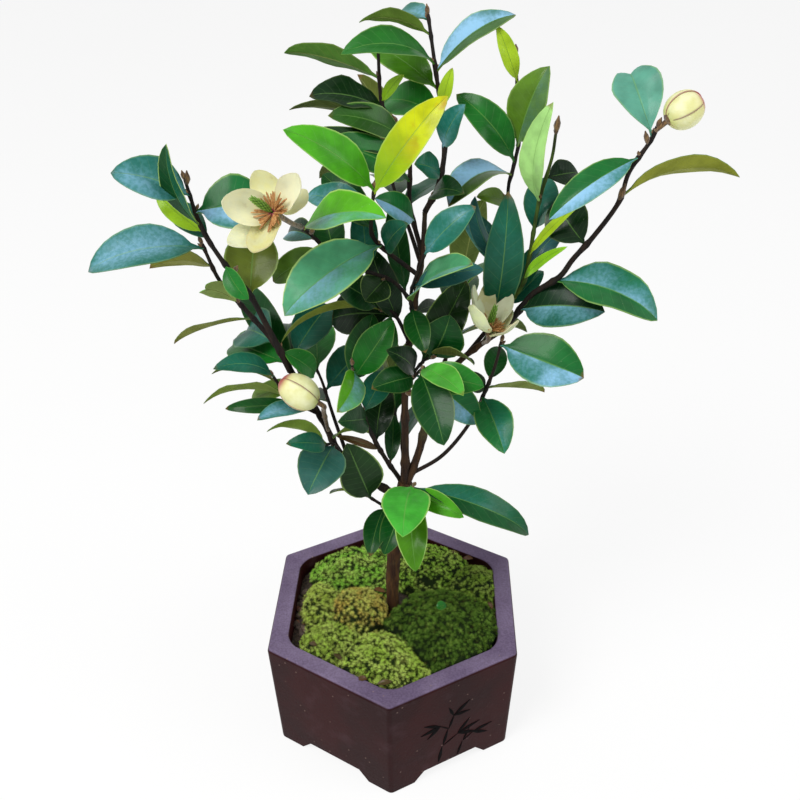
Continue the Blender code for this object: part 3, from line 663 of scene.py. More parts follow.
bark, place = finish("bark", Specular_IOR_Level=0.25)
age = place.attribute("age")
plates = place.noise(230.0, 5.0, stretch=(1.0, 1.0, 0.28))
cracks = place.noise(620.0, 4.0, stretch=(1.0, 1.0, 0.16)).between(0.36, 0.50)
old_wood = plates.between(0.35, 0.65).mix(srgb(50, 28, 14), srgb(80, 54, 28))
young_wood = plates.between(0.35, 0.65).mix(srgb(14, 10, 8), srgb(38, 27, 20))
green_wood = plates.between(0.3, 0.7).mix(srgb(52, 78, 22), srgb(92, 116, 40))
wood = place.attribute("green").mix(age.mix(young_wood, old_wood), green_wood)
wood = ((1 - cracks) * 0.60).mix(wood, srgb(30, 18, 14))
(place.noise(40.0, 4.0).between(0.58, 0.74) * 0.35 * age).mix(wood, srgb(112, 116, 76)).feed("Base Color")
(0.62 + 0.25 * plates).feed("Roughness")
(plates * 0.6 + cracks * 0.5).relief(0.0006)
bark_lumps = bpy.data.textures.new("bark_lumps", "CLOUDS")
bark_lumps.noise_scale = 5.0 * MM


def smooth_route(points, step=2.5):
    """Points every few millimetres on a soft curve through the given ones, and their shares of its length."""
    line = [Vector(p) for p in points]
    ends = [line[0] * 2 - line[1]] + line + [line[-1] * 2 - line[-2]]
    made = []
    for before, start, end, after in zip(ends, ends[1:], ends[2:], ends[3:]):
        pieces = max(int((end - start).length / step), 1)
        for t in (index / pieces for index in range(pieces)):
            made.append(0.5 * (2 * start + (end - before) * t
                               + (2 * before - 5 * start + 4 * end - after) * t ** 2
                               + (3 * start - before - 3 * end + after) * t ** 3))
    made.append(line[-1])
    lengths = np.cumsum([0.0] + [(b - a).length for a, b in zip(made, made[1:])])
    return made, lengths / lengths[-1]


def grow_wood(name, points, radii, knots, sides=10, rough=0.0):
    """A tapering stem along a soft curve, thicker at its knots, with its bark's own unevenness."""
    line, shares = smooth_route(points)
    bpy.ops.object.select_all(action="DESELECT")
    bpy.ops.curve.primitive_bezier_curve_add()
    stem = bpy.context.object
    stem.name = name
    curve = stem.data
    curve.dimensions = "3D"
    curve.splines.clear()
    spline = curve.splines.new("POLY")
    spline.points.add(len(line) - 1)
    for knot_point, point, share in zip(spline.points, line, shares):
        swelling = min(sum(math.exp(-((share - knot) * 60) ** 2) for knot in knots), 1.2)
        knot_point.co = (*mm(*point), 1.0)
        knot_point.radius = (radii[0] + (radii[1] - radii[0]) * share) * (0.88 + 0.34 * swelling)
    curve.bevel_depth = MM
    curve.bevel_resolution = sides // 2 - 2
    curve.use_fill_caps = True
    only(stem)
    bpy.ops.object.convert(target="MESH")
    with editing(stem):
        bpy.ops.mesh.remove_doubles(threshold=0.01 * MM)
        bpy.ops.mesh.normals_make_consistent(inside=False)
    if rough:
        modify(stem, "DISPLACE", texture=bark_lumps, texture_coords="GLOBAL", strength=rough * MM)
    settle(stem)
    smooth(stem)
    return stem


def place_at(points, share):
    """The point at a share of the length of a line of points."""
    line = [Vector(p) for p in points]
    lengths = [(b - a).length for a, b in zip(line, line[1:])]
    left = share * sum(lengths)
    index = 0
    while index < len(lengths) - 1 and left > lengths[index]:
        left -= lengths[index]
        index += 1
    return line[index].lerp(line[index + 1], min(left / lengths[index], 1.0))


# name: carrier, share along it, points, radii, share of old bark, knots, roughness
STEM_KNOTS = (0.12, 0.3, 0.42, 0.55, 0.7, 0.83)
WOOD = {
    "trunk": (None, 0, [(-1.5, 0.5, 66), (-1, 0, 78), (-1, 0, 104), (1, 0, 130), (4, 0, 155), (8, 0, 180)],
              (4.6, 5.4), 1.0, (0.62, 0.80), 1.2),
    "stem_centre": ("trunk", 0.94, [(8, 1, 200), (8, 1, 240), (10, 3, 270), (14, 7, 300), (18, 10, 328),
                                    (19, 12, 348)], (2.7, 1.5), 0.5, STEM_KNOTS, 0.5),
    "stem_left": ("trunk", 0.90, [(-14, -3, 184), (-25, -5, 197), (-32, -8, 211), (-40, -12, 236),
                                  (-54, -16, 267)], (2.6, 1.7), 0.1, STEM_KNOTS, 0.5),
    "stem_right": ("trunk", 0.95, [(16, 4, 200), (20, 7, 219), (26, 8, 239), (36, 7, 257), (47, 5, 270),
                                   (63, 3, 284)], (2.9, 1.6), 0.55, STEM_KNOTS, 0.5),
}
ROUTES = {}
for name, (carrier, share, points, radii, oldness, knots, rough) in WOOD.items():
    ROUTES[name] = ([place_at(ROUTES[carrier], share)] if carrier else []) + [Vector(p) for p in points]
    stem = grow_wood(f"{name}_wood", ROUTES[name], radii, knots, sides=14, rough=rough)
    mark(stem, age=oldness, green=0.0)
    wear(stem, bark)
    deliver(stem, "bark", name)


# ---------------------------------------------------------------- leafy shoots of the left side
# Evergreen leaves: thick, glossy and dark above with a bluish sheen of the sky painted where they catch it,
# dull olive below, folded along a pale midrib, with a thin pale margin. Young ones are lime green and
# thinner.


def leaf_lines(place, rib_width, vein_start):
    """What both faces of a leaf go by: the share of its length, how far off the midrib, then the midrib, the
    side veins and the margin as masks."""
    share = place.attribute("share")
    side = place.attribute("side")
    off_rib = abs(side)
    phase = share * 10.5 - off_rib * 1.5 + side.math("GREATER_THAN", side, 0.0) * 0.5
    vein = (abs(phase.math("FRACT", phase) - 0.5) * 2).between(vein_start, 1.0)
    return (share, side, off_rib, 1 - off_rib.between(0.0, rib_width),
            vein * (1 - off_rib.between(0.75, 0.95)), off_rib.between(0.90, 0.985))


leaf_upper, place = finish("leaf_upper", Coat_Roughness=0.16, Specular_IOR_Level=0.12)
share, side, off_rib, rib, vein, edge = leaf_lines(place, 0.055, 0.90)
mottle = place.noise(90.0, 4.0)
fine = place.noise(520.0)
own = place.attribute("upper", output="Color")
skin = (mottle.between(0.3, 0.7) * 0.35).mix(own, srgb(20, 52, 26), "MULTIPLY")
# The sheen is a painted reflection of the sky mixed into the colour: teal, then pale blue, strongest on the
# half that catches the sky.
sky_side = (place.attribute("halves") * side).between(-0.03, 0.03)
streak = place.noise(30.0, 2.0).between(0.36, 0.64)
sheen = place.attribute("sheen") * (0.12 + 1.3 * sky_side.math("POWER", sky_side, 1.5)) * (0.5 + 0.5 * streak)
sheen = sheen * (1 - 0.35 * off_rib) * (0.9 + 0.2 * fine.between(0.35, 0.65))
skin = (sheen.between(0.0, 0.55) * 0.85).mix(skin, srgb(38, 116, 100), "LIGHTEN")
skin = (sheen.between(0.28, 1.05) * 0.9).mix(skin, srgb(146, 196, 232))
turning = place.attribute("turning")
skin = ((1 - share.between(0.15, 0.85)) * turning * 0.8).mix(skin, srgb(112, 166, 30))
spoilt = place.noise(70.0, 5.0).between(0.52, 0.66) * share.between(0.35, 0.8)
skin = (spoilt * turning * 0.7).mix(skin, srgb(168, 120, 26))
skin = (vein * 0.10).mix(skin, srgb(130, 170, 110))
skin = (rib * 0.42).mix(skin, srgb(120, 170, 84))
skin = (edge * place.attribute("margin")).mix(skin, srgb(170, 202, 112))
tip_dry = (share + 0.06 * fine).between(0.975, 1.03) * place.attribute("scorch")
skin = tip_dry.mix(skin, srgb(122, 88, 48))
specks = place.cells(210.0).between(0.035, 0.06)
((1 - specks) * 0.22).mix(skin, srgb(176, 190, 168)).feed("Base Color")
(0.30 + 0.16 * mottle + 0.04 * vein + 0.3 * tip_dry).feed("Roughness")
(0.10 - 0.1 * tip_dry).feed("Coat Weight")
(0.5 * mottle - 0.10 * vein - 0.5 * rib + 0.12 * fine).relief(0.0004)

leaf_under, place = finish("leaf_under", Specular_IOR_Level=0.2)
share, side, off_rib, rib, vein, edge = leaf_lines(place, 0.07, 0.86)
mottle = place.noise(110.0, 4.0).between(0.3, 0.7)
fine = place.noise(700.0)
own = place.attribute("under", output="Color")
dull = (mottle * 0.35).mix(own, srgb(112, 122, 84), "MULTIPLY")
dull = (vein * 0.18).mix(dull, srgb(150, 164, 80))
dull = (rib * 0.6).mix(dull, srgb(164, 172, 96))
dull = (edge * 0.5).mix(dull, srgb(158, 172, 88))
tip_dry = (share + 0.06 * fine).between(0.955, 1.02) * place.attribute("scorch")
tip_dry.mix(dull, srgb(128, 94, 54)).feed("Base Color")
(0.58 + 0.12 * mottle).feed("Roughness")
(0.9 * rib + 0.25 * vein + 0.2 * fine).relief(0.0004)

leaf_edge, place = finish("leaf_edge", Roughness=0.5, Specular_IOR_Level=0.2)
own = place.attribute("upper", output="Color")
(place.attribute("margin") * place.noise(160.0)).mix(own, srgb(160, 186, 80)).feed("Base Color")
place.noise(900.0).relief(0.0001)


def flat_blank(name, looks, row_shares, columns, spread_at, thickness, pulled_back=0.0):
    """A flat leaf of length 1 and width 1 along +Y, a thickness in millimetres thick, knowing for each point
    its share of the length and of the half width. A notched one has its midrib pulled back at the tip."""
    blank = begin(bpy.ops.mesh.primitive_grid_add, name, x_subdivisions=columns - 1,
                  y_subdivisions=len(row_shares) - 1, size=1.0)
    with editing(blank):
        for row, share in enumerate(row_shares):
            height = row / (len(row_shares) - 1) - 0.5
            pick(blank, "verts", lambda vert: vert.index // columns == row)
            stretch(spread_at(share), 1, 1, about=(0, height, 0))
            nudge(0, share - height, 0)
        for step, pull in ((0, 1.0), (1, 0.35)) if pulled_back else ():
            pick(blank, "verts",
                 lambda vert: abs(vert.index % columns - columns // 2) == step and vert.co.y > 0.9)
            nudge(0, -pulled_back * pull, 0)
    write(blank, "share", np.repeat(row_shares, columns))
    write(blank, "side", np.tile(np.linspace(-1, 1, columns), len(row_shares)))
    wear(blank, *looks)
    modify(blank, "SOLIDIFY", thickness=thickness, offset=0.0, material_offset=1, material_offset_rim=2)
    smooth(blank, 60)
    return blank


LEAF_ROWS = (0.0, 0.05, 0.10, 0.15, 0.22, 0.31, 0.41, 0.52, 0.63, 0.73, 0.82, 0.90, 0.96, 1.0)
LEAF_COLUMNS = 7
LEAF_THICKNESS = 0.45
LEAF_STALK = 0.09
LEAF_FOLD = 0.30


def leaf_spread(share, narrowing=1.0, middle=0.95, fullness=0.62, tip=0.006):
    """Share of the full width along a leaf: a stalk, then a blade that is broadest just past its middle."""
    blade = max((share - LEAF_STALK) / (1 - LEAF_STALK), 0.0)
    return max(math.sin(math.pi * narrowing * blade ** middle) ** fullness, 0.055 * (1 - share) + tip)


def notched_spread(share):
    """The same for a leaf whose tip was lost: it stays broad to its end."""
    return leaf_spread(share, narrowing=0.86, middle=1.15, fullness=0.8, tip=0.0)


leaf_looks = (leaf_upper, leaf_under, leaf_edge)
leaf_blank = flat_blank("leaf_blank", leaf_looks, LEAF_ROWS, LEAF_COLUMNS, leaf_spread, LEAF_THICKNESS)
notched_blank = flat_blank("notched_blank", leaf_looks, LEAF_ROWS, LEAF_COLUMNS, notched_spread,
                           LEAF_THICKNESS, pulled_back=0.07)

# look: colour above, colour below, painted bluish sheen of the sky, half that catches it (1 lower, -1 upper),
# pale margin
LOOKS = {
    "dark": ((12, 70, 18), (90, 108, 42), 0.14, 0, 0.18),
    # black and dusk: the dark leaf colour darkened further for leaves in the crown's shade, painted shade;
    # dusk keeps its painted sheen on one half.
    "black": ((6, 42, 10), (60, 78, 30), 0.04, 0, 0.1),
    "sky": ((60, 104, 44), (98, 120, 50), 0.80, -1, 0.5),
    "dusk": ((10, 44, 18), (70, 90, 36), 0.62, 1, 0.3),
    "moss_lime": ((72, 134, 20), (150, 180, 50), 0.0, 0, 0.8),
    "teal": ((16, 86, 58), (92, 116, 52), 0.60, 0, 0.15),
    "blue": ((24, 98, 84), (104, 124, 58), 1.42, 0, 0.25),
    "slate": ((44, 92, 92), (96, 110, 70), 0.42, 0, 0.2),
    "green": ((30, 112, 32), (104, 130, 46), 0.12, 0, 0.3),
    "fresh": ((68, 160, 22), (136, 172, 60), 0.12, 0, 0.6),
    "lime": ((150, 200, 36), (166, 204, 66), 0.0, 0, 0.4),
    "yellow": ((200, 212, 18), (200, 212, 60), 0.0, 0, 0.5),
    "olive": ((34, 72, 26), (122, 138, 48), 0.08, 0, 0.4),
    "olive_dark": ((22, 54, 20), (82, 98, 34), 0.04, 0, 0.5),
    "meadow": ((46, 96, 34), (80, 128, 38), 0.08, 0, 0.4),
    "shore": ((62, 92, 34), (98, 120, 50), 0.85, -1, 0.5),
    "olive_top": ((104, 128, 42), (124, 140, 56), 0.04, 0, 0.5),
    "split": ((24, 108, 46), (98, 120, 50), 0.92, 1, 0.4),
    "split_high": ((28, 112, 56), (98, 120, 50), 0.48, -1, 0.5),
    "pine": ((14, 84, 36), (98, 120, 50), 0.26, -1, 0.2),
    "spring": ((74, 172, 58), (136, 172, 60), 0.10, 0, 0.7),
    "jade": ((96, 168, 118), (98, 120, 50), 0.62, 1, 1.0),
    "rolled": ((16, 74, 34), (120, 160, 80), 0.25, 1, 1.0),
    "fresh_split": ((92, 168, 28), (138, 172, 62), 0.50, 1, 0.8),
    "olive_bright": ((60, 110, 60), (132, 150, 44), 0.1, 0, 0.4),
    "olive_pale": ((92, 122, 30), (150, 156, 90), 0.35, 1, 0.4),
    "pale_lime": ((158, 228, 138), (150, 200, 60), 0.0, 0, 0.5),
    "mint": ((104, 166, 134), (110, 140, 80), 0.35, 0, 0.3),
    "torn": ((70, 160, 34), (166, 170, 96), 0.1, 0, 0.5),
    "dry": ((84, 58, 34), (130, 100, 62), 0.0, 0, 0.1),
}
NOTCHED = ("mint", "torn")


def axes_to(foot, tip, face):
    """From a foot to a tip: how long, then the directions along, across, and up on the side it faces."""
    along = (tip - foot).normalized()
    up = (face - along * along.dot(face)).normalized()
    return (tip - foot).length, along, along.cross(up), up


def lay_out(piece, foot, *runs):
    """Put a blank's points in place. Each run is how far each point goes, and in what direction."""
    places = np.array(mm(*foot)) + MM * sum(np.outer(reach, direction) for reach, direction in runs)
    piece.data.vertices.foreach_set("co", places.ravel())


def bend_leaf(foot, tip, width, look, face=(0, -1, 1), arch=0.10, seed=0):
    """Lay a copy of the flat blank from its foot to its tip: arched, folded, a little twisted and waved."""
    leaf = copy_of(notched_blank if look in NOTCHED else leaf_blank)
    x, y, z = places_in(leaf).T
    chance = random.Random(seed)
    foot, tip = Vector(foot), Vector(tip)
    length, along, across, up = axes_to(foot, tip, Vector(face))
    twist = np.radians(chance.uniform(-14, 14)) * (y - 0.1)
    ripple = chance.uniform(0.03, 0.10) * np.sin(
        chance.uniform(9, 15) * y + chance.uniform(0, 6) + 1.2 * np.sign(x))
    sway = chance.uniform(-0.03, 0.03) * length * np.sin(np.pi * y)
    fold = LEAF_FOLD * (1.15 - 0.6 * np.abs(x))
    lift = arch * length * 4 * y * (1 - y) + np.abs(x) * width * (fold + ripple)
    lift -= chance.uniform(0.3, 1.1) * length * np.maximum(y - 0.78, 0) ** 2
    thick = z * (1 + 1.5 * np.exp(-(y / LEAF_STALK) ** 2)) * (1.15 - 1.4 * np.abs(x) * (y > 0.12))
    lay_out(leaf, foot, (y * length, along), (x * width * np.cos(twist) + sway, across),
            (lift + x * width * np.sin(twist) + thick, up))
    upper, under, sheen, half, margin = LOOKS[look]
    bright = chance.uniform(0.86, 1.16)
    mark(leaf, sheen=sheen * chance.uniform(0.8, 1.15), halves=half * (-1 if across.z > 0 else 1),
         margin=margin, scorch=chance.choice((0.0, 0.0, 0.3, 0.8)), turning=float(look == "yellow"))
    tint = [bright * chance.uniform(0.75, 1.25), bright, bright * chance.uniform(0.8, 1.2), 1.0]
    mark(leaf, upper=np.array([*srgb(*upper), 1.0]) * tint, under=np.array([*srgb(*under), 1.0]) * tint)
    return leaf


# A resting bud: two brown velvety scales over a pointed heart, a few millimetres long
velvet, place = finish("velvet", Roughness=0.85, Sheen_Weight=0.4)
down = place.noise(1100.0, stretch=(1.0, 1.0, 0.35))
down.between(0.35, 0.65).mix(srgb(62, 40, 24), srgb(124, 94, 52)).feed("Base Color")
down.relief(0.0004)
resting_bud = begin(bpy.ops.mesh.primitive_uv_sphere_add, "resting_bud", segments=8, ring_count=7, radius=0.5)
with editing(resting_bud):
    nudge(0, 0, 0.5)
    pick(resting_bud, "verts", lambda vert: vert.co.z > 0.7)
    stretch(0.6, 0.6, 1, about=(0, 0, 0.7))
    pick(resting_bud, "verts", lambda vert: 0.2 < vert.co.z < 0.4 and vert.co.x > 0)
    stretch(1.25, 1.25, 1, about=(0, 0, 0.3))
smooth(resting_bud)
wear(resting_bud, velvet)


def place_bud(foot, towards, length, width):
    """A resting bud on a twig, in millimetres."""
    bud = copy_of(resting_bud)
    bud.matrix_world = facing_matrix(mm(*foot), Vector(towards).normalized(), 0.4,
                                     (width * MM, width * MM, length * MM))
    return bud


def leafy_shoots(shoots):
    """Each twig with its leaves, its terminal bud and the buds in the crooks of its leaves, as one piece.
    A shoot is its carrier, its share along it, the twig's points and radii, its leaves, and how green its
    bark is. A leaf is its share along the twig, its tip, width and look, then how it faces and arches."""
    for name, (carrier, share, points, radii, leaves, *green) in shoots.items():
        route = [place_at(ROUTES[carrier], share)] + [Vector(p) for p in points]
        ROUTES[name] = route
        twig = grow_wood(f"{name}_twig", route, (radii[0] * 1.05, radii[1]), [leaf[0] for leaf in leaves])
        mark(twig, age=0.0, green=green[0] if green else 0.0)
        wear(twig, bark)
        end = (route[-1] - route[-2]).normalized()
        parts = [place_bud(route[-1] - end * 0.5, end, 5.5, 2.4)]
        for index, (where, tip, *leaf) in enumerate(leaves):
            foot = place_at(route, where)
            parts.append(bend_leaf(foot, tip, *leaf, seed=f"{name} {index}"))
            if index % 2 == 0:
                inside = (end + (Vector(tip) - foot).normalized() * 0.6).normalized()
                parts.append(place_bud(foot + inside * radii[0] * 0.6, inside, 3.4, 1.7))
        deliver(join(f"{name}_leaves", *parts, twig), "foliage", name)


leafy_shoots({
    "branch_left_upper": ("stem_left", 1.0, [(-64, -20, 297), (-71, -23, 317), (-82, -27, 337),
                                             (-90, -30, 357), (-94, -33, 381)], (2.1, 0.9), [
        (0.93, (-124, -46, 389), 21, "blue"), (0.8, (-97, -48, 402), 14, "rolled", (-1, -2, 0)),
        (0.86, (-55, -25, 367), 30, "split"), (0.76, (-112, -22, 370), 10, "lime", (-1, -1, 1)),
        (0.42, (-68, -3, 345), 28, "olive_top", (0, -1, 1), 0.04),
        (0.6, (-69, -38, 321), 11, "green", (-1, -1, 1)), (0.12, (-42, -3, 257), 14, "green", (1, -1, 1)),
        (0.72, (-110, -6, 358), 14, "teal"),
    ]),
    "branch_left_lower": ("stem_left", 0.96, [(-62, -11, 281), (-77, -9, 301), (-89, -8, 317),
                                              (-96, -8, 338)], (1.9, 1.0), [
        (0.97, (-152, -25, 331), 28, "blue", (0, -1, 2), 0.13),
        (0.84, (-130, 8, 318), 17, "olive", (0, 2, 1)), (0.56, (-95, -22, 319), 12, "torn", (-1, 0, 1)),
        (0.45, (-121, 0, 276), 14, "olive", (0, 1, 2), 0.05), (0.25, (-84, 18, 274), 28, "teal"),
        (0.1, (-95, 25, 261), 21, "green"),
    ]),
    "branch_left_middle": ("stem_left", 0.72, [(-55, -19, 251), (-63, -21, 267)], (1.3, 0.9), [
        (0.97, (-91, -36, 280), 14, "teal", (0, -1, 2), 0.2),
        (0.82, (-96, -20, 269), 12, "olive_dark", (0, 1, 1), 0.12),
        (0.45, (-103, -20, 250), 18, "olive", (0, 1, 1), 0.14), (0.34, (-90, -26, 249), 9, "dark"),
        (0.18, (-69, -43, 253), 12, "blue", (0, -1, 2)),
    ]),
    "branch_left_back": ("stem_left", 0.8, [(-50, -6, 258), (-56, 4, 266)], (1.3, 0.8), [
        (0.9, (-62, 40, 268), 22, "dark"), (0.4, (-82, 4, 236), 12, "olive_top"),
        (0.95, (-36, 32, 284), 22, "teal"), (0.8, (-88, 44, 292), 18, "dark", (-1, 0, 2)),
    ]),
    "branch_left_low": ("stem_left", 0.46, [(-33, -16, 219), (-37, -22, 222)], (1.2, 0.8), [
        (0.9, (-67, -30, 238), 17, "olive", (0, 1, 1), 0.14), (0.97, (-53, -46, 240), 12, "teal"),
        (0.55, (-44, -50, 209), 27, "slate"),
    ]),
    "branch_back_left": ("stem_left", 0.35, [(-34, 6, 222), (-42, 20, 240), (-48, 30, 246)], (1.4, 0.8), [
        (0.95, (-84, 48, 238), 22, "dark", (-1, 1, 2)), (0.9, (-54, 76, 250), 24, "green", (0, 1, 2)),
        (0.6, (-66, 40, 206), 20, "dark", (-1, 1, 1)), (0.7, (-18, 48, 246), 22, "teal", (1, 1, 1)),
    ]),
})


# ---------------------------------------------------------------- leafy shoots of the right side
# The longest shoots reach out to the right over bare lower wood, with big leaves set wide apart and a
# flower bud at the very end.

leafy_shoots({
    "branch_right_low": ("stem_right", 0.09, [(30, 2, 199), (45, -2, 224), (53, -5, 247), (58, -7, 265),
                                              (61, -8, 282)], (1.4, 0.9), [
        (0.98, (104, -27, 271), 30, "split", (0, -1, 1), 0.06), (0.66, (63, -40, 231), 21, "split_high"),
        (0.72, (90, 20, 234), 17, "olive", (0, 1, 1), 0.03), (0.7, (41, -8, 262), 11, "black"),
        (0.76, (62, 12, 268), 13, "dark"),
    ]),
    "branch_right_far": ("stem_right", 1.0, [(70, 8, 291), (78, 6, 304), (90, -3, 318), (96, -5, 329),
                                             (105, -8, 343), (115, -11, 362), (118, -13, 378),
                                             (126, -15, 394), (128, -16, 401)], (1.9, 1.1), [
        (0.96, (117, 10, 421), 24, "mint"), (0.72, (173, -5, 375), 20, "olive_bright", (0, 1, 1), 0.13),
        (0.88, (79, -30, 361), 16, "split"), (0.5, (87, 12, 355), 24, "black", (0, -1, 0)),
        (0.3, (139, -25, 306), 29, "split_high", (0, -1, 2), 0.13), (0.1, (113, -14, 304), 29, "dusk"),
    ]),
    "branch_right_inner": ("stem_right", 0.88, [(66, 12, 295), (72, 8, 308), (74, 6, 320), (77, 7, 349),
                                                (79, 8, 361), (83, 9, 378), (84, 9, 390)], (1.4, 0.9), [
        (0.72, (79, -8, 410), 17, "pale_lime", (-1, -1, 0), 0.16), (0.58, (84, 27, 362), 18, "teal"),
        (0.48, (96, -10, 361), 5, "lime"), (0.42, (92, 18, 336), 12, "slate"),
        (0.36, (91, -10, 338), 6, "lime"), (0.24, (84, 26, 326), 12, "teal"),
        (0.2, (84, 18, 312), 11, "teal"), (0.82, (98, 16, 368), 16, "black"),
    ], 0.8),
    "branch_right_top": ("stem_right", 0.76, [(58, 12, 285), (64, 14, 300), (64, 20, 333), (63, 24, 356),
                                              (65, 26, 366), (68, 28, 384), (66, 29, 400),
                                              (64, 30, 424)], (1.5, 0.7), [
        (0.16, (62, 7, 360), 21, "teal", (0, -1, 0)), (0.64, (31, 0, 357), 24, "shore", (-1, -1, 2), 0.2),
        (0.68, (35, 32, 404), 18, "green", (0, -1, 1), 0.2),
        (0.73, (78, 16, 421), 22, "olive_pale", (-1, -1, 0)), (0.92, (54, 26, 438), 9, "lime"),
        (0.55, (46, 8, 358), 11, "olive_top"), (0.35, (44, 6, 358), 13, "slate", (-1, -1, 0)),
        (0.33, (38, 28, 344), 15, "blue"),
    ]),
    "branch_back_right": ("stem_right", 0.4, [(30, 20, 250), (38, 34, 272), (42, 44, 298)], (1.4, 0.8), [
        (0.95, (52, 64, 336), 24, "dark", (0, 1, 1)), (0.9, (78, 62, 300), 22, "green", (1, 1, 1)),
        (0.7, (44, 86, 280), 24, "dark", (0, 1, 2)), (0.55, (80, 46, 262), 22, "teal", (1, 1, 1)),
        (0.4, (26, 66, 250), 22, "dark", (0, 1, 1)),
    ]),
})


# ---------------------------------------------------------------- leafy shoots of the crown
# The middle stem ends in a close crown of leaves of every age, young lime ones standing among the dark ones
# and one old leaf turning yellow.

leafy_shoots({
    "branch_top": ("stem_centre", 1.0, [(26, 15, 362), (29, 20, 384), (24, 26, 417),
                                        (20, 30, 443)], (1.7, 0.9), [
        (0.72, (63, 35, 442), 18, "sky", (0, -1, 3), 0.14), (0.55, (32, 18, 420), 7, "lime"),
        (0.97, (3, 52, 438), 15, "blue", (0, -1, 2)), (0.9, (-13, 18, 442), 13, "olive", (0, 1, 1), 0.14),
        (0.76, (-21, 8, 430), 20, "green", (0, -1, 2), 0.18),
        (0.64, (-12, 54, 426), 19, "moss_lime", (0, -1, 1), 0.03), (0.5, (-4, 50, 396), 22, "green"),
        (0.35, (38, 4, 406), 14, "blue"), (0.08, (38, -8, 366), 15, "dark", (0, -1, 1), 0.15),
        (0.22, (14, 6, 376), 15, "teal"),
    ]),
    "branch_top_left": ("stem_centre", 0.87, [(11, 17, 350), (11, 20, 371), (7, 24, 388), (-3, 27, 399),
                                              (-5, 30, 429)], (1.5, 0.9), [
        (0.85, (-53, 40, 424), 18, "meadow", (0, 1, 1), 0.06),
        (0.7, (-38, 12, 409), 20, "black", (0, -1, 2), 0.08), (0.75, (8, 22, 416), 7, "lime"),
        (0.58, (-51, 30, 398), 14, "olive_dark", (0, 1, 1)), (0.55, (-28, 6, 401), 18, "meadow"),
        (0.35, (-30, -6, 391), 22, "green"), (0.45, (-40, -2, 395), 11, "olive_dark"),
        (0.16, (-6, 0, 360), 16, "split", (1, -1, 1)),
    ]),
    "branch_centre_upper": ("stem_centre", 0.8, [(-6, -2, 337), (-8, -8, 352), (-6, -8, 368)], (1.5, 1.0), [
        (0.95, (29, -14, 415), 19, "yellow"), (0.84, (-42, 4, 360), 17, "blue"),
        (0.46, (-52, -34, 311), 32, "jade", (-1, -3, 3), 0.12), (0.62, (-34, 14, 368), 18, "dark"),
        (0.98, (-46, -22, 402), 20, "fresh"), (0.4, (10, -14, 352), 16, "teal"),
    ]),
    "branch_back_top": ("stem_centre", 0.84, [(10, 26, 334), (2, 40, 350), (-4, 52, 372)], (1.4, 0.8), [
        (0.95, (-18, 74, 404), 22, "dark", (0, 1, 1)), (0.9, (22, 82, 384), 24, "green", (0, 1, 1)),
        (0.7, (-42, 66, 350), 24, "dark", (-1, 1, 1)), (0.55, (-6, 84, 340), 24, "dark", (0, 1, 2)),
        (0.45, (38, 58, 350), 22, "teal", (1, 1, 1)),
    ]),
})


# ---------------------------------------------------------------- leafy shoots of the middle
# Short side shoots with leaves of middle size fill the space between the three stems. One of them carries
# the wide open flower.

leafy_shoots({
    "branch_inner_left": ("trunk", 0.95, [(4.2, 3.4, 180.4), (-3, 0, 196), (-10, -6, 216), (-16, -10, 237),
                                          (-19, -13, 256), (-20, -14, 270)], (1.7, 0.9), [
        (0.88, (-9, 0, 294), 20, "dark"), (0.92, (2, -8, 294), 20, "green"),
        (0.96, (-25, -52, 264), 17, "fresh_split", (1, -1, 1)),
        (0.62, (-26, -40, 250), 16, "dark", (1, -1, 1)), (0.66, (-3, 14, 250), 16, "teal"),
        (0.5, (-32, -22, 228), 15, "olive", (0, 1, 1)), (0.35, (-31, -12, 222), 5, "dry"),
        (0.42, (-4, 20, 236), 18, "black"), (0.2, (0, 24, 214), 10, "dark"),
    ]),
    "branch_front": ("stem_centre", 0.42, [(13, -14, 262), (18, -26, 275)], (1.4, 0.9), [
        (0.9, (30, -58, 248), 22, "dark"), (0.98, (39, -56, 278), 16, "spring", (0, -1, 2)),
        (0.85, (51, -32, 268), 18, "green"), (0.7, (50, -20, 237), 20, "split"),
        (0.6, (-8, -35, 268), 17, "dark"),
    ]),
    "branch_flower": ("stem_centre", 0.7, [(3, 0, 313), (-12, -3, 321), (-26, -6, 328), (-36, -8, 340),
                                           (-42, -20, 352)], (1.2, 0.9), [
        (0.97, (0, -38, 366), 25, "fresh_split", (0, -1, 2), 0.15), (0.72, (-61, -8, 317), 16, "olive_top"),
        (0.3, (-12, -12, 308), 18, "olive_dark"), (0.42, (-14, 15, 352), 15, "teal", (0, -1, 1), -0.04),
        (0.62, (-34, 10, 352), 17, "dark"), (0.1, (1, 26, 348), 13, "dark", (0, -1, 0), -0.06),
        (0.8, (-56, 18, 333), 15, "dusk"),
    ]),
    "branch_centre_right": ("stem_centre", 0.66, [(12, -9, 309), (14, -15, 321),
                                                  (20, -13, 337)], (1.3, 0.8), [
        (0.95, (44, -14, 361), 17, "blue"), (0.32, (42, -38, 341), 25, "jade", (0, -1, 2)),
        (0.6, (49, -18, 329), 14, "slate"), (0.2, (20, -28, 286), 14, "dark"),
        (0.08, (30, 33, 281), 10, "black"),
    ]),
    "branch_centre_low": ("stem_centre", 0.44, [(19, -5, 268), (23, -9, 272)], (1.2, 0.8), [
        (0.95, (33, -7, 297), 25, "dark", (0, -1, 0)), (0.85, (46, -24, 278), 16, "olive_dark", (0, 1, 1)),
        (0.6, (42, 18, 306), 22, "olive_dark"), (0.3, (0, -26, 286), 15, "black"),
    ]),
    "branch_centre_left": ("stem_centre", 0.58, [(2, 2, 294), (-8, 4, 296)], (1.4, 0.9), [
        (0.8, (-58, -16, 287), 16, "olive", (0, 1, 1), 0.15), (0.6, (-34, 18, 282), 26, "black"),
        (0.95, (-30, -6, 318), 18, "dark"), (0.4, (-11, 16, 326), 17, "black"),
        (0.7, (-4, 12, 262), 15, "green"),
    ]),
})


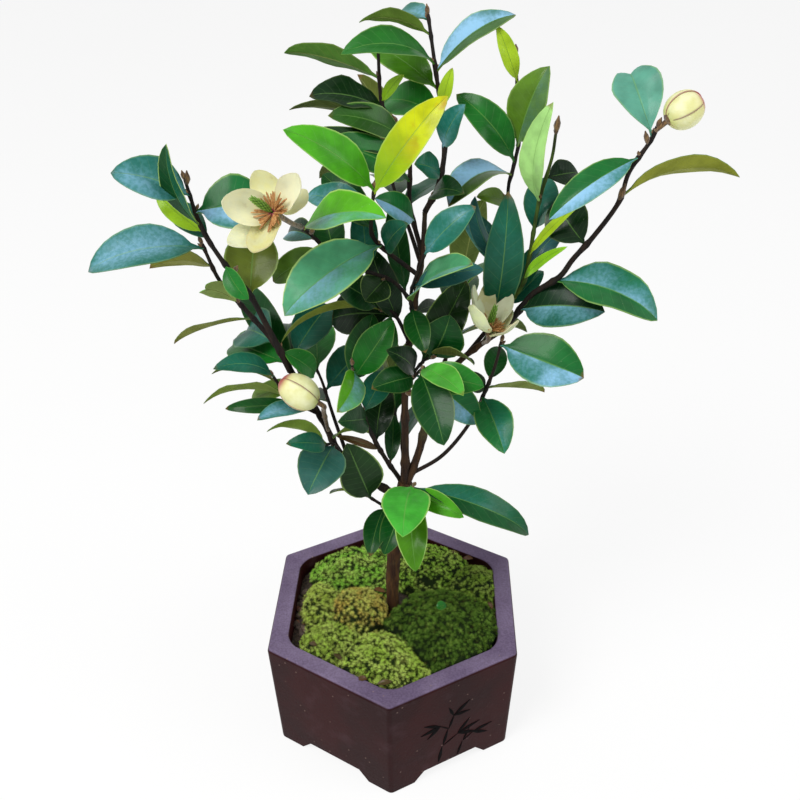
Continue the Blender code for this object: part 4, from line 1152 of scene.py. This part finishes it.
# ---------------------------------------------------------------- leafy shoots of the trunk
# Short shoots sprout low on the old wood, before it parts into stems, and their fresh leaves hang out over
# the moss.

leafy_shoots({
    "branch_low_front": ("trunk", 0.86, [(10, -12, 183), (13, -16, 190)], (1.3, 0.9), [
        (0.95, (8, -57, 186), 28, "spring", (0, -1, 3)), (0.8, (15, -52, 156), 19, "moss_lime", (0, -1, 2)),
        (0.5, (-4, -36, 154), 16, "dark"), (0.88, (84, -16, 155), 20, "pine", (0, -1, 2), 0.14),
        (0.6, (42, -32, 180), 13, "fresh"),
    ]),
    "branch_low_left": ("trunk", 0.8, [(-4, -6, 166), (-14, -9, 176)], (1.4, 0.9), [
        (0.95, (-25, -12, 216), 26, "olive_dark", (1, -3, 1)), (0.9, (-36, -20, 187), 12, "olive", (0, 1, 1)),
        (0.5, (-12, -38, 155), 15, "dark"),
    ]),
    "branch_back_low": ("trunk", 0.8, [(6, 14, 192), (2, 26, 206), (-2, 38, 226)], (1.5, 0.8), [
        (0.95, (-18, 58, 262), 24, "dark", (0, 1, 1)), (0.9, (22, 66, 252), 24, "green", (0, 1, 1)),
        (0.6, (-34, 58, 212), 24, "dark", (0, 1, 1)), (0.5, (30, 56, 208), 22, "teal", (0, 1, 1)),
        (0.75, (-6, 84, 218), 22, "dark", (0, 1, 2)),
    ]),
})


# ---------------------------------------------------------------- flowers
# Six waxy cream tepals in two whorls, nearly fifty tan stamens with purple feet, and a green spindle of small
# pistils standing clear of them. The cream yellows with age, and the cupped tepals redden at their margins.

cream_tepal, place = finish("cream_tepal", Subsurface_Weight=0.08)
share = place.attribute("share")
side = place.attribute("side")
lines = place.noise(300.0)
grain_lines = (abs(place.math("FRACT", side * 7.0 + 0.5 * lines) - 0.5) * 2).between(0.7, 1.0)
own = place.attribute("upper", output="Color")
waxy = (lines.between(0.35, 0.65) * 0.25 + 0.30).mix(own, srgb(218, 220, 190))
waxy = (grain_lines * 0.05).mix(waxy, srgb(210, 206, 140))
waxy = ((1 - share.between(0.10, 0.42)) * 0.35).mix(waxy, srgb(214, 212, 130))
waxy = (abs(side).between(0.88, 1.0) * place.attribute("blush")).mix(waxy, srgb(150, 84, 70))
bruise = place.noise(210.0, 5.0).between(0.64, 0.74)
(bruise * 0.22).mix(waxy, srgb(176, 150, 84)).feed("Base Color")
(0.42 + 0.15 * lines).feed("Roughness")
(lines * 0.4 + grain_lines * 0.2).relief(0.0002)


def tepal_spread(share):
    """Share of the full width along a tepal: it tapers to its foot and is round at its end."""
    return max(math.sin(math.pi * (0.06 + 0.94 * share) ** 1.05) ** 0.56, 0.16 * (1 - share) + 0.05)


TEPAL_ROWS = (0.0, 0.06, 0.13, 0.22, 0.32, 0.43, 0.54, 0.65, 0.75, 0.84, 0.92, 0.97, 1.0)
TEPAL_COLUMNS = 9
TEPAL_THICKNESS = 0.8
tepal_blank = flat_blank("tepal_blank", (cream_tepal,), TEPAL_ROWS, TEPAL_COLUMNS, tepal_spread,
                         TEPAL_THICKNESS)


def bend_tepal(name, foot, tip, width, axis, cup, colour, blush, seed):
    """Lay a copy of the tepal blank: cupped across, hollow along, its rim rolling out near the tip."""
    tepal = copy_of(tepal_blank)
    tepal.name = name
    x, y, z = places_in(tepal).T
    length, along, across, up = axes_to(foot, tip, axis)
    wave = random.Random(seed).uniform(0, 6)
    ripple = 0.05 * np.sin(9 * y + wave + np.sign(x)) * np.abs(x) * 2
    hollow = -0.14 * length * 4 * y * (1 - y)
    lift = hollow + width * (cup * 2.2 * x ** 2 + ripple) * (1 - 0.35 * np.maximum(y - 0.7, 0))
    thick = z * (1.2 - 0.8 * np.abs(x) * 2 * (y > 0.1))
    lay_out(tepal, foot, (y * length, along), (x * width * (1 - 0.25 * cup), across), (lift + thick, up))
    mark(tepal, blush=blush, upper=(*srgb(*colour), 1.0))
    return tepal


def ring_round(piece, height, swell):
    """In edit mode, cut a ring round a piece at a height and widen it."""
    bpy.ops.mesh.select_all(action="SELECT")
    bpy.ops.mesh.bisect(plane_co=(0, 0, height), plane_no=(0, 0, 1))
    pick(piece, "verts", lambda vert: abs(vert.co.z - height) < 0.01)
    stretch(swell, swell, 1, about=(0, 0, height))


# One stamen: a flat filament with a longer anther, bent a little outwards
stamen_tan, place = finish("stamen_tan", Roughness=0.6)
tan = place.noise(700.0).between(0.3, 0.7).mix(srgb(160, 108, 58), srgb(200, 152, 96))
place.attribute("reach").between(0.0, 0.26).mix(srgb(140, 44, 76), tan).feed("Base Color")
place.noise(1500.0).relief(0.0002)
stamen = begin(bpy.ops.mesh.primitive_cylinder_add, "stamen", vertices=5, radius=0.5, depth=1.0,
               location=(0, 0, 0.5))
with editing(stamen):
    for height, swell in ((0.25, 1.0), (0.5, 1.25), (0.8, 1.1)):
        ring_round(stamen, height, swell)
        nudge(0.35 * height ** 2, 0, 0)
    pick(stamen, "verts", lambda vert: vert.co.z > 0.99)
    stretch(0.65, 0.65, 1, about=(0, 0, 1))
    nudge(0.5, 0, 0)
    bpy.ops.mesh.select_all(action="SELECT")
    stretch(1, 0.7, 1)

# One pistil of the spindle: a small green ovary with a pointed tip
pistil_green, place = finish("pistil_green", Roughness=0.55)
place.attribute("reach").between(0.1, 0.9).mix(srgb(60, 104, 30), srgb(128, 172, 64)).feed("Base Color")
place.noise(1300.0).relief(0.0002)
pistil = begin(bpy.ops.mesh.primitive_cone_add, "pistil", vertices=6, radius1=0.5, radius2=0.12, depth=1.0,
               location=(0, 0, 0.5))
with editing(pistil):
    ring_round(pistil, 0.4, 1.35)


def stalk_from(name, carrier, share, points, radii, knot):
    """The velvety stalk of a flower or a bud, from its carrier through these points."""
    route = [place_at(ROUTES[carrier], share)] + [Vector(p) for p in points]
    stalk = grow_wood(f"{name}_stalk", route, radii, [knot])
    wear(stalk, velvet)
    return stalk


# name: carrier, share along it, stalk points, centre, axis, run and length of the spindle, then the tepals in
# turn: tip, width, colour, blush
FLOWERS = {
    "flower_left": ("branch_flower", 1.0, [(-45, -34, 360)], (-49, -48, 370), (-4, -8, 5), (-8, -5, 8), 15, [
        ((-60, -40, 388), 17, (226, 220, 140), 0.1), ((-71, -58, 379), 19, (236, 232, 178), 0.0),
        ((-70, -67, 363), 16, (236, 236, 186), 0.0), ((-57, -68, 359), 18, (214, 206, 116), 0.15),
        ((-36, -41, 379), 12, (222, 216, 150), 0.1), ((-37, -50, 389), 16, (238, 234, 190), 0.1)]),
    "flower_right": ("stem_right", 0.88, [(54, -5, 281)], (53, -9, 286.5), (2, 1, 12), (3, 1, 12), 16, [
        ((54, 4, 314), 12, (190, 182, 104), 0.0), ((45, -2, 311), 12, (218, 226, 180), 0.1),
        ((67, -1, 299), 9, (150, 158, 66), 0.0), ((66, 2, 304), 12, (222, 224, 186), 0.1),
        ((69, -15, 300), 13, (214, 210, 150), 0.2), ((44, -20, 308), 15, (236, 246, 176), 0.1)]),
}
RECEPTACLE = 3.0
WHORL_GAP = 3.2
STAMEN_COUNT = 46
PISTIL_COUNT = 64
GOLDEN_ANGLE = 2.39996
for name, (carrier, share, stalk, centre, axis, run, spindle, tepals) in FLOWERS.items():
    centre = Vector(centre)
    axis = Vector(axis).normalized()
    for index, (tip, width, colour, blush) in enumerate(tepals):
        inner = index % 2
        step = axis * WHORL_GAP * (inner - 0.5)
        out = (Vector(tip) - centre).normalized()
        foot = centre + (out * RECEPTACLE + step).normalized() * (RECEPTACLE - 0.6)
        tepal = bend_tepal(f"{name}_petal_{index + 1}", foot, Vector(tip) + step, width, axis,
                           0.45 if inner else 0.25, colour, blush, f"{name} {index}")
        deliver(tepal, "petal", f"{name}_tepal_{index + 1}")
    deliver(stalk_from(name, carrier, share, [*stalk, centre + axis * 2.2], (1.2, 1.7), 0.9),
            "flower_centre", f"{name}_centre")
    chance = random.Random(name)
    turn = turn_to(axis)
    spots = []
    for index in range(STAMEN_COUNT):
        spin = index * GOLDEN_ANGLE
        lean = math.radians(chance.uniform(44, 80))
        direction = turn @ Vector((math.sin(lean) * math.cos(spin), math.sin(lean) * math.sin(spin),
                                   math.cos(lean)))
        foot = centre + axis * (2.4 + 0.03 * index) + direction * 1.2
        long = chance.uniform(6.8, 9.2)
        spots.append((facing_matrix(mm(*foot), direction, chance.uniform(0, 6.28),
                                    (0.95 * MM, 0.95 * MM, long * MM)), chance.random()))
    broadcast(f"{name}_stamens", stamen, spots, stamen_tan, "flower_centre")
    run = Vector(run).normalized()
    turn = turn_to(run)
    spots = []
    for index in range(PISTIL_COUNT):
        along_spindle = index / PISTIL_COUNT
        spin = index * GOLDEN_ANGLE
        outward = turn @ Vector((math.cos(spin), math.sin(spin), 0))
        thick = 1.75 * math.sin(math.pi * (0.12 + 0.86 * along_spindle))
        foot = centre + axis * 2.0 + run * (1.0 + (spindle - 3.0) * along_spindle) + outward * thick * 0.55
        spots.append((facing_matrix(mm(*foot), (outward + run * 2.4).normalized(), spin,
                                    (1.0 * MM, 1.0 * MM, 2.6 * MM)), chance.random()))
    broadcast(f"{name}_pistils", pistil, spots, pistil_green, "flower_centre")
discard(tepal_blank, stamen, pistil)


# ---------------------------------------------------------------- flower buds
# Plump buds of pale yellow tepals, each wrapped over the next with a purple line along its edge, sitting on
# a short stalk with a golden velvet collar where the bud scale has fallen.

bud_tepal, place = finish("bud_tepal", Roughness=0.42, Subsurface_Weight=0.06)
share = place.attribute("share")
soft = place.noise(140.0)
pale = soft.between(0.35, 0.65).mix(srgb(222, 220, 150), srgb(234, 234, 184))
pale = ((1 - share.between(0.02, 0.3)) * 0.5).mix(pale, srgb(176, 186, 74))
pale = (share.between(0.5, 0.9) * 0.3).mix(pale, srgb(232, 206, 120))
pale = (abs(place.attribute("side")).between(0.90, 0.99) * 0.75).mix(pale, srgb(142, 66, 84))
(share.between(0.72, 0.88) * 0.9).mix(pale, srgb(172, 62, 78)).feed("Base Color")
(0.36 + 0.2 * soft).feed("Roughness")
place.noise(700.0).relief(0.0001)


def egg(name, middle, turn, wide, long, segments, rings):
    """A smooth ball drawn out along a turn. Its middle and its sizes are in millimetres."""
    made = begin(bpy.ops.mesh.primitive_uv_sphere_add, name, segments=segments, ring_count=rings, radius=0.5)
    made.matrix_world = (Matrix.Translation(mm(*middle)) @ turn
                         @ Matrix.Diagonal((wide * MM, wide * MM, long * MM, 1)))
    settle(made)
    smooth(made)
    return made


# name: carrier, share along it, stalk points, foot of the bud, its tip, diameter, turn of the wrap
BUDS = {
    "bud_right": ("branch_right_far", 0.985, [(131, -17, 403)],
                  (132, -17, 404.5), (147.5, -13, 412.5), 17.5, 100),
    "bud_left": ("stem_left", 0.60, [(-36, -24, 246), (-35, -31, 254)],
                 (-38.5, -31, 256), (-57.5, -26, 267), 18.5, 60),
}
SHELL_COUNT = 4
SHELL_STEP = 95
SHELL_REACH = math.radians(74)
SHELL_THICKNESS = 0.45
for name, (carrier, share, stalk, foot, tip, diameter, wrap) in BUDS.items():
    foot, tip = Vector(foot), Vector(tip)
    length = (tip - foot).length
    turn = turn_to(tip - foot)
    shells = []
    for index in range(SHELL_COUNT):
        shell = begin(bpy.ops.mesh.primitive_grid_add, f"{name}_shell_{index}", x_subdivisions=14,
                      y_subdivisions=14, size=2.0)
        x, y, _ = places_in(shell).T
        y = (y + 1) / 2
        azimuth = (math.radians(wrap + index * SHELL_STEP)
                   + x * SHELL_REACH * (1 - 0.25 * np.maximum(y - 0.75, 0)))
        polar = np.pi * (0.03 + 0.95 * y)
        radius = diameter / 2 * (0.955 + 0.035 * x + 0.012 * index)
        bulge = np.sin(polar) ** 0.86 * (1 - 0.15 * np.maximum(y - 0.5, 0))
        local = np.column_stack((radius * bulge * np.cos(azimuth), radius * bulge * np.sin(azimuth),
                                 length * (0.5 - 0.5 * np.cos(polar) * (1.0 + 0.015 * index))))
        places = local @ np.array(turn.to_3x3()).T + np.array(foot)
        shell.data.vertices.foreach_set("co", np.array([mm(*p) for p in places]).ravel())
        write(shell, "share", y)
        write(shell, "side", x)
        modify(shell, "SOLIDIFY", thickness=SHELL_THICKNESS * MM, offset=0.0)
        smooth(shell)
        shells.append(shell)
    heart = egg(f"{name}_heart", (foot + tip) / 2, turn, diameter * 0.93, length * 0.97, 24, 16)
    mark(heart, share=0.4, side=0.0)
    bud = join(f"{name}_tepals", *shells, heart)
    wear(bud, bud_tepal)
    deliver(bud, "petal", name)
    stalk = stalk_from(name, carrier, share, [*stalk, foot.lerp(tip, 0.16)], (1.3, 1.7), 0.45)
    collar = egg(f"{name}_collar", foot.lerp(tip, 0.03), turn, diameter * 0.36, 3.4, 14, 9)
    wear(collar, velvet)
    deliver(join(stalk.name, collar, stalk), "petal")


# ---------------------------------------------------------------- resting buds
# Long winter buds stand in the forks of the strongest shoots, and short ones low on the middle stem, all
# in the same brown velvet. They are the buds that grow apart from the crooks of leaves.

RESTING_BUDS = [
    ("branch_right_far", 0.70, (2, -3, 12), 11, 3.4), ("branch_right_far", 0.93, (-3, -3, 9), 8, 2.6),
    ("branch_right_inner", 1.0, (1, 0, 10), 9, 3.2), ("branch_left_upper", 0.97, (1, -1, 8), 8, 2.8),
    ("branch_right_top", 0.55, (-4, -3, 8), 8, 2.8), ("branch_top", 0.62, (4, -4, 8), 7, 2.6),
    ("branch_left_upper", 0.55, (5, -4, 8), 7, 2.6), ("branch_top_left", 0.62, (-4, -4, 8), 7, 2.4),
    ("stem_centre", 0.40, (6, -6, 3), 6.5, 4.2), ("stem_centre", 0.66, (-4, -6, 5), 5.5, 3.6),
    ("branch_flower", 0.90, (4, -5, 6), 6, 2.6), ("branch_right_low", 0.62, (5, -5, 6), 6, 2.6),
]
buds = []
for carrier, share, towards, length, width in RESTING_BUDS:
    foot = place_at(ROUTES[carrier], share)
    buds.append(place_bud(foot + Vector(towards).normalized() * 0.6, towards, length, width))
deliver(join("resting_buds", *buds), "bark")


# ---------------------------------------------------------------- litter on the moss
# A fallen round leaf lies on the big cushion, and scraps of dry leaf are caught along the rim and between
# the cushions.

LITTER = [
    ((27, -15, 91.5), (34, -13, 92.5), 6.5, "green"), ((-20, -66, 82), (-14, -68, 84), 3.5, "dry"),
    ((-8, -72, 84), (1, -71, 85.5), 3.2, "dry"), ((-52, -38, 82), (-47, -42, 84), 3.0, "dry"),
    ((56, 34, 80), (62, 30, 83), 3.0, "dry"), ((46, 46, 80), (53, 43, 83), 3.5, "dry"),
    ((62, 2, 81), (64, -6, 83), 3.0, "dry"), ((36, 52, 80), (42, 49, 83), 2.6, "dry"),
    ((-6, 9, 82), (-14, 10, 84), 3.4, "dry"), ((-30, -50, 80), (-36, -47, 82.5), 3.0, "dry"),
]
deliver(join("litter", *(bend_leaf(*scrap, face=(0.2, -0.3, 1), seed=f"litter {index}")
                         for index, scrap in enumerate(LITTER))), "foliage")
discard(leaf_blank, notched_blank, resting_bud)


# ---------------------------------------------------------------- setting
# A plain white floor under a soft even sky, with two broad lamps: the stronger from the upper left in front,
# the weaker from the right, and the camera standing a little above the crown and looking down at the pot.

def shown_plainly(wire):
    """1 for the rays that show the setting itself: straight, in a reflection or through something clear."""
    straight, mirrored, through = (wire.node("ShaderNodeLightPath", output=f"Is {way} Ray")
                                   for way in ("Camera", "Glossy", "Transmission"))
    shown = straight + mirrored + through
    return shown.math("MINIMUM", shown, 1.0)


bpy.ops.object.select_all(action="DESELECT")
bpy.ops.mesh.primitive_plane_add(size=16.0, location=(0, 5.0, -0.0002))
floor = bpy.context.object
floor.name = "floor"
white_paper, place = finish("white_paper", Roughness=0.9)
tone = place.noise(3.0)
tone.between(0.2, 0.8).mix(srgb(250, 250, 250), srgb(253, 253, 253)).feed("Base Color")
nodes = white_paper.node_tree.nodes
blend = place.node("ShaderNodeMixShader", sockets={
    0: shown_plainly(place) * 0.85, 1: Wire(nodes["Principled BSDF"].outputs[0]),
    2: place.node("ShaderNodeEmission", sockets={"Color": (1.0, 1.0, 1.0)})})
white_paper.node_tree.links.new(blend.socket, nodes["Material Output"].inputs["Surface"])
wear(floor, white_paper)

world = bpy.data.worlds.new("soft_sky")
bpy.context.scene.world = world
world.use_nodes = True
sky = world.node_tree.nodes["Background"]
sky.inputs["Color"].default_value = (1.0, 1.0, 1.0, 1.0)
strength = 0.40 + 0.60 * shown_plainly(Wire(sky.outputs[0]))
world.node_tree.links.new(strength.socket, sky.inputs["Strength"])


def lamp(name, place, target, size, watts, colour):
    """A round area lamp at a place, turned to a target."""
    light = bpy.data.lights.new(name, "AREA")
    light.shape = "DISK"
    light.size = size
    light.energy = watts
    light.color = colour
    made = bpy.data.objects.new(name, light)
    bpy.context.scene.collection.objects.link(made)
    made.location = place
    made.rotation_euler = (Vector(target) - Vector(place)).to_track_quat("-Z", "Y").to_euler()


lamp("window_lamp", (-1.0, -1.1, 1.9), (0, 0, 0.2), 1.2, 40.0, (1.0, 0.99, 0.97))
lamp("side_lamp", (1.5, -0.5, 1.1), (0, 0, 0.2), 1.0, 10.0, (0.95, 0.98, 1.0))

lens = bpy.data.cameras.new("camera")
lens.lens = 43.7
lens.sensor_width = 36.0
camera = bpy.data.objects.new("camera", lens)
bpy.context.scene.collection.objects.link(camera)
pitch, yaw, roll = (math.radians(angle) for angle in (31.84, -2.21, -0.67))
forward = Vector((math.sin(yaw) * math.cos(pitch), math.cos(yaw) * math.cos(pitch), -math.sin(pitch)))
level = Vector((math.cos(yaw), -math.sin(yaw), 0))
above = level.cross(forward)
right = level * math.cos(roll) + above * math.sin(roll)
top = above * math.cos(roll) - level * math.sin(roll)
camera.matrix_world = standing(mm(23.5, -473.85, 533.5), right, top, -forward)
bpy.context.scene.camera = camera
bpy.context.scene.view_settings.view_transform = "Standard"
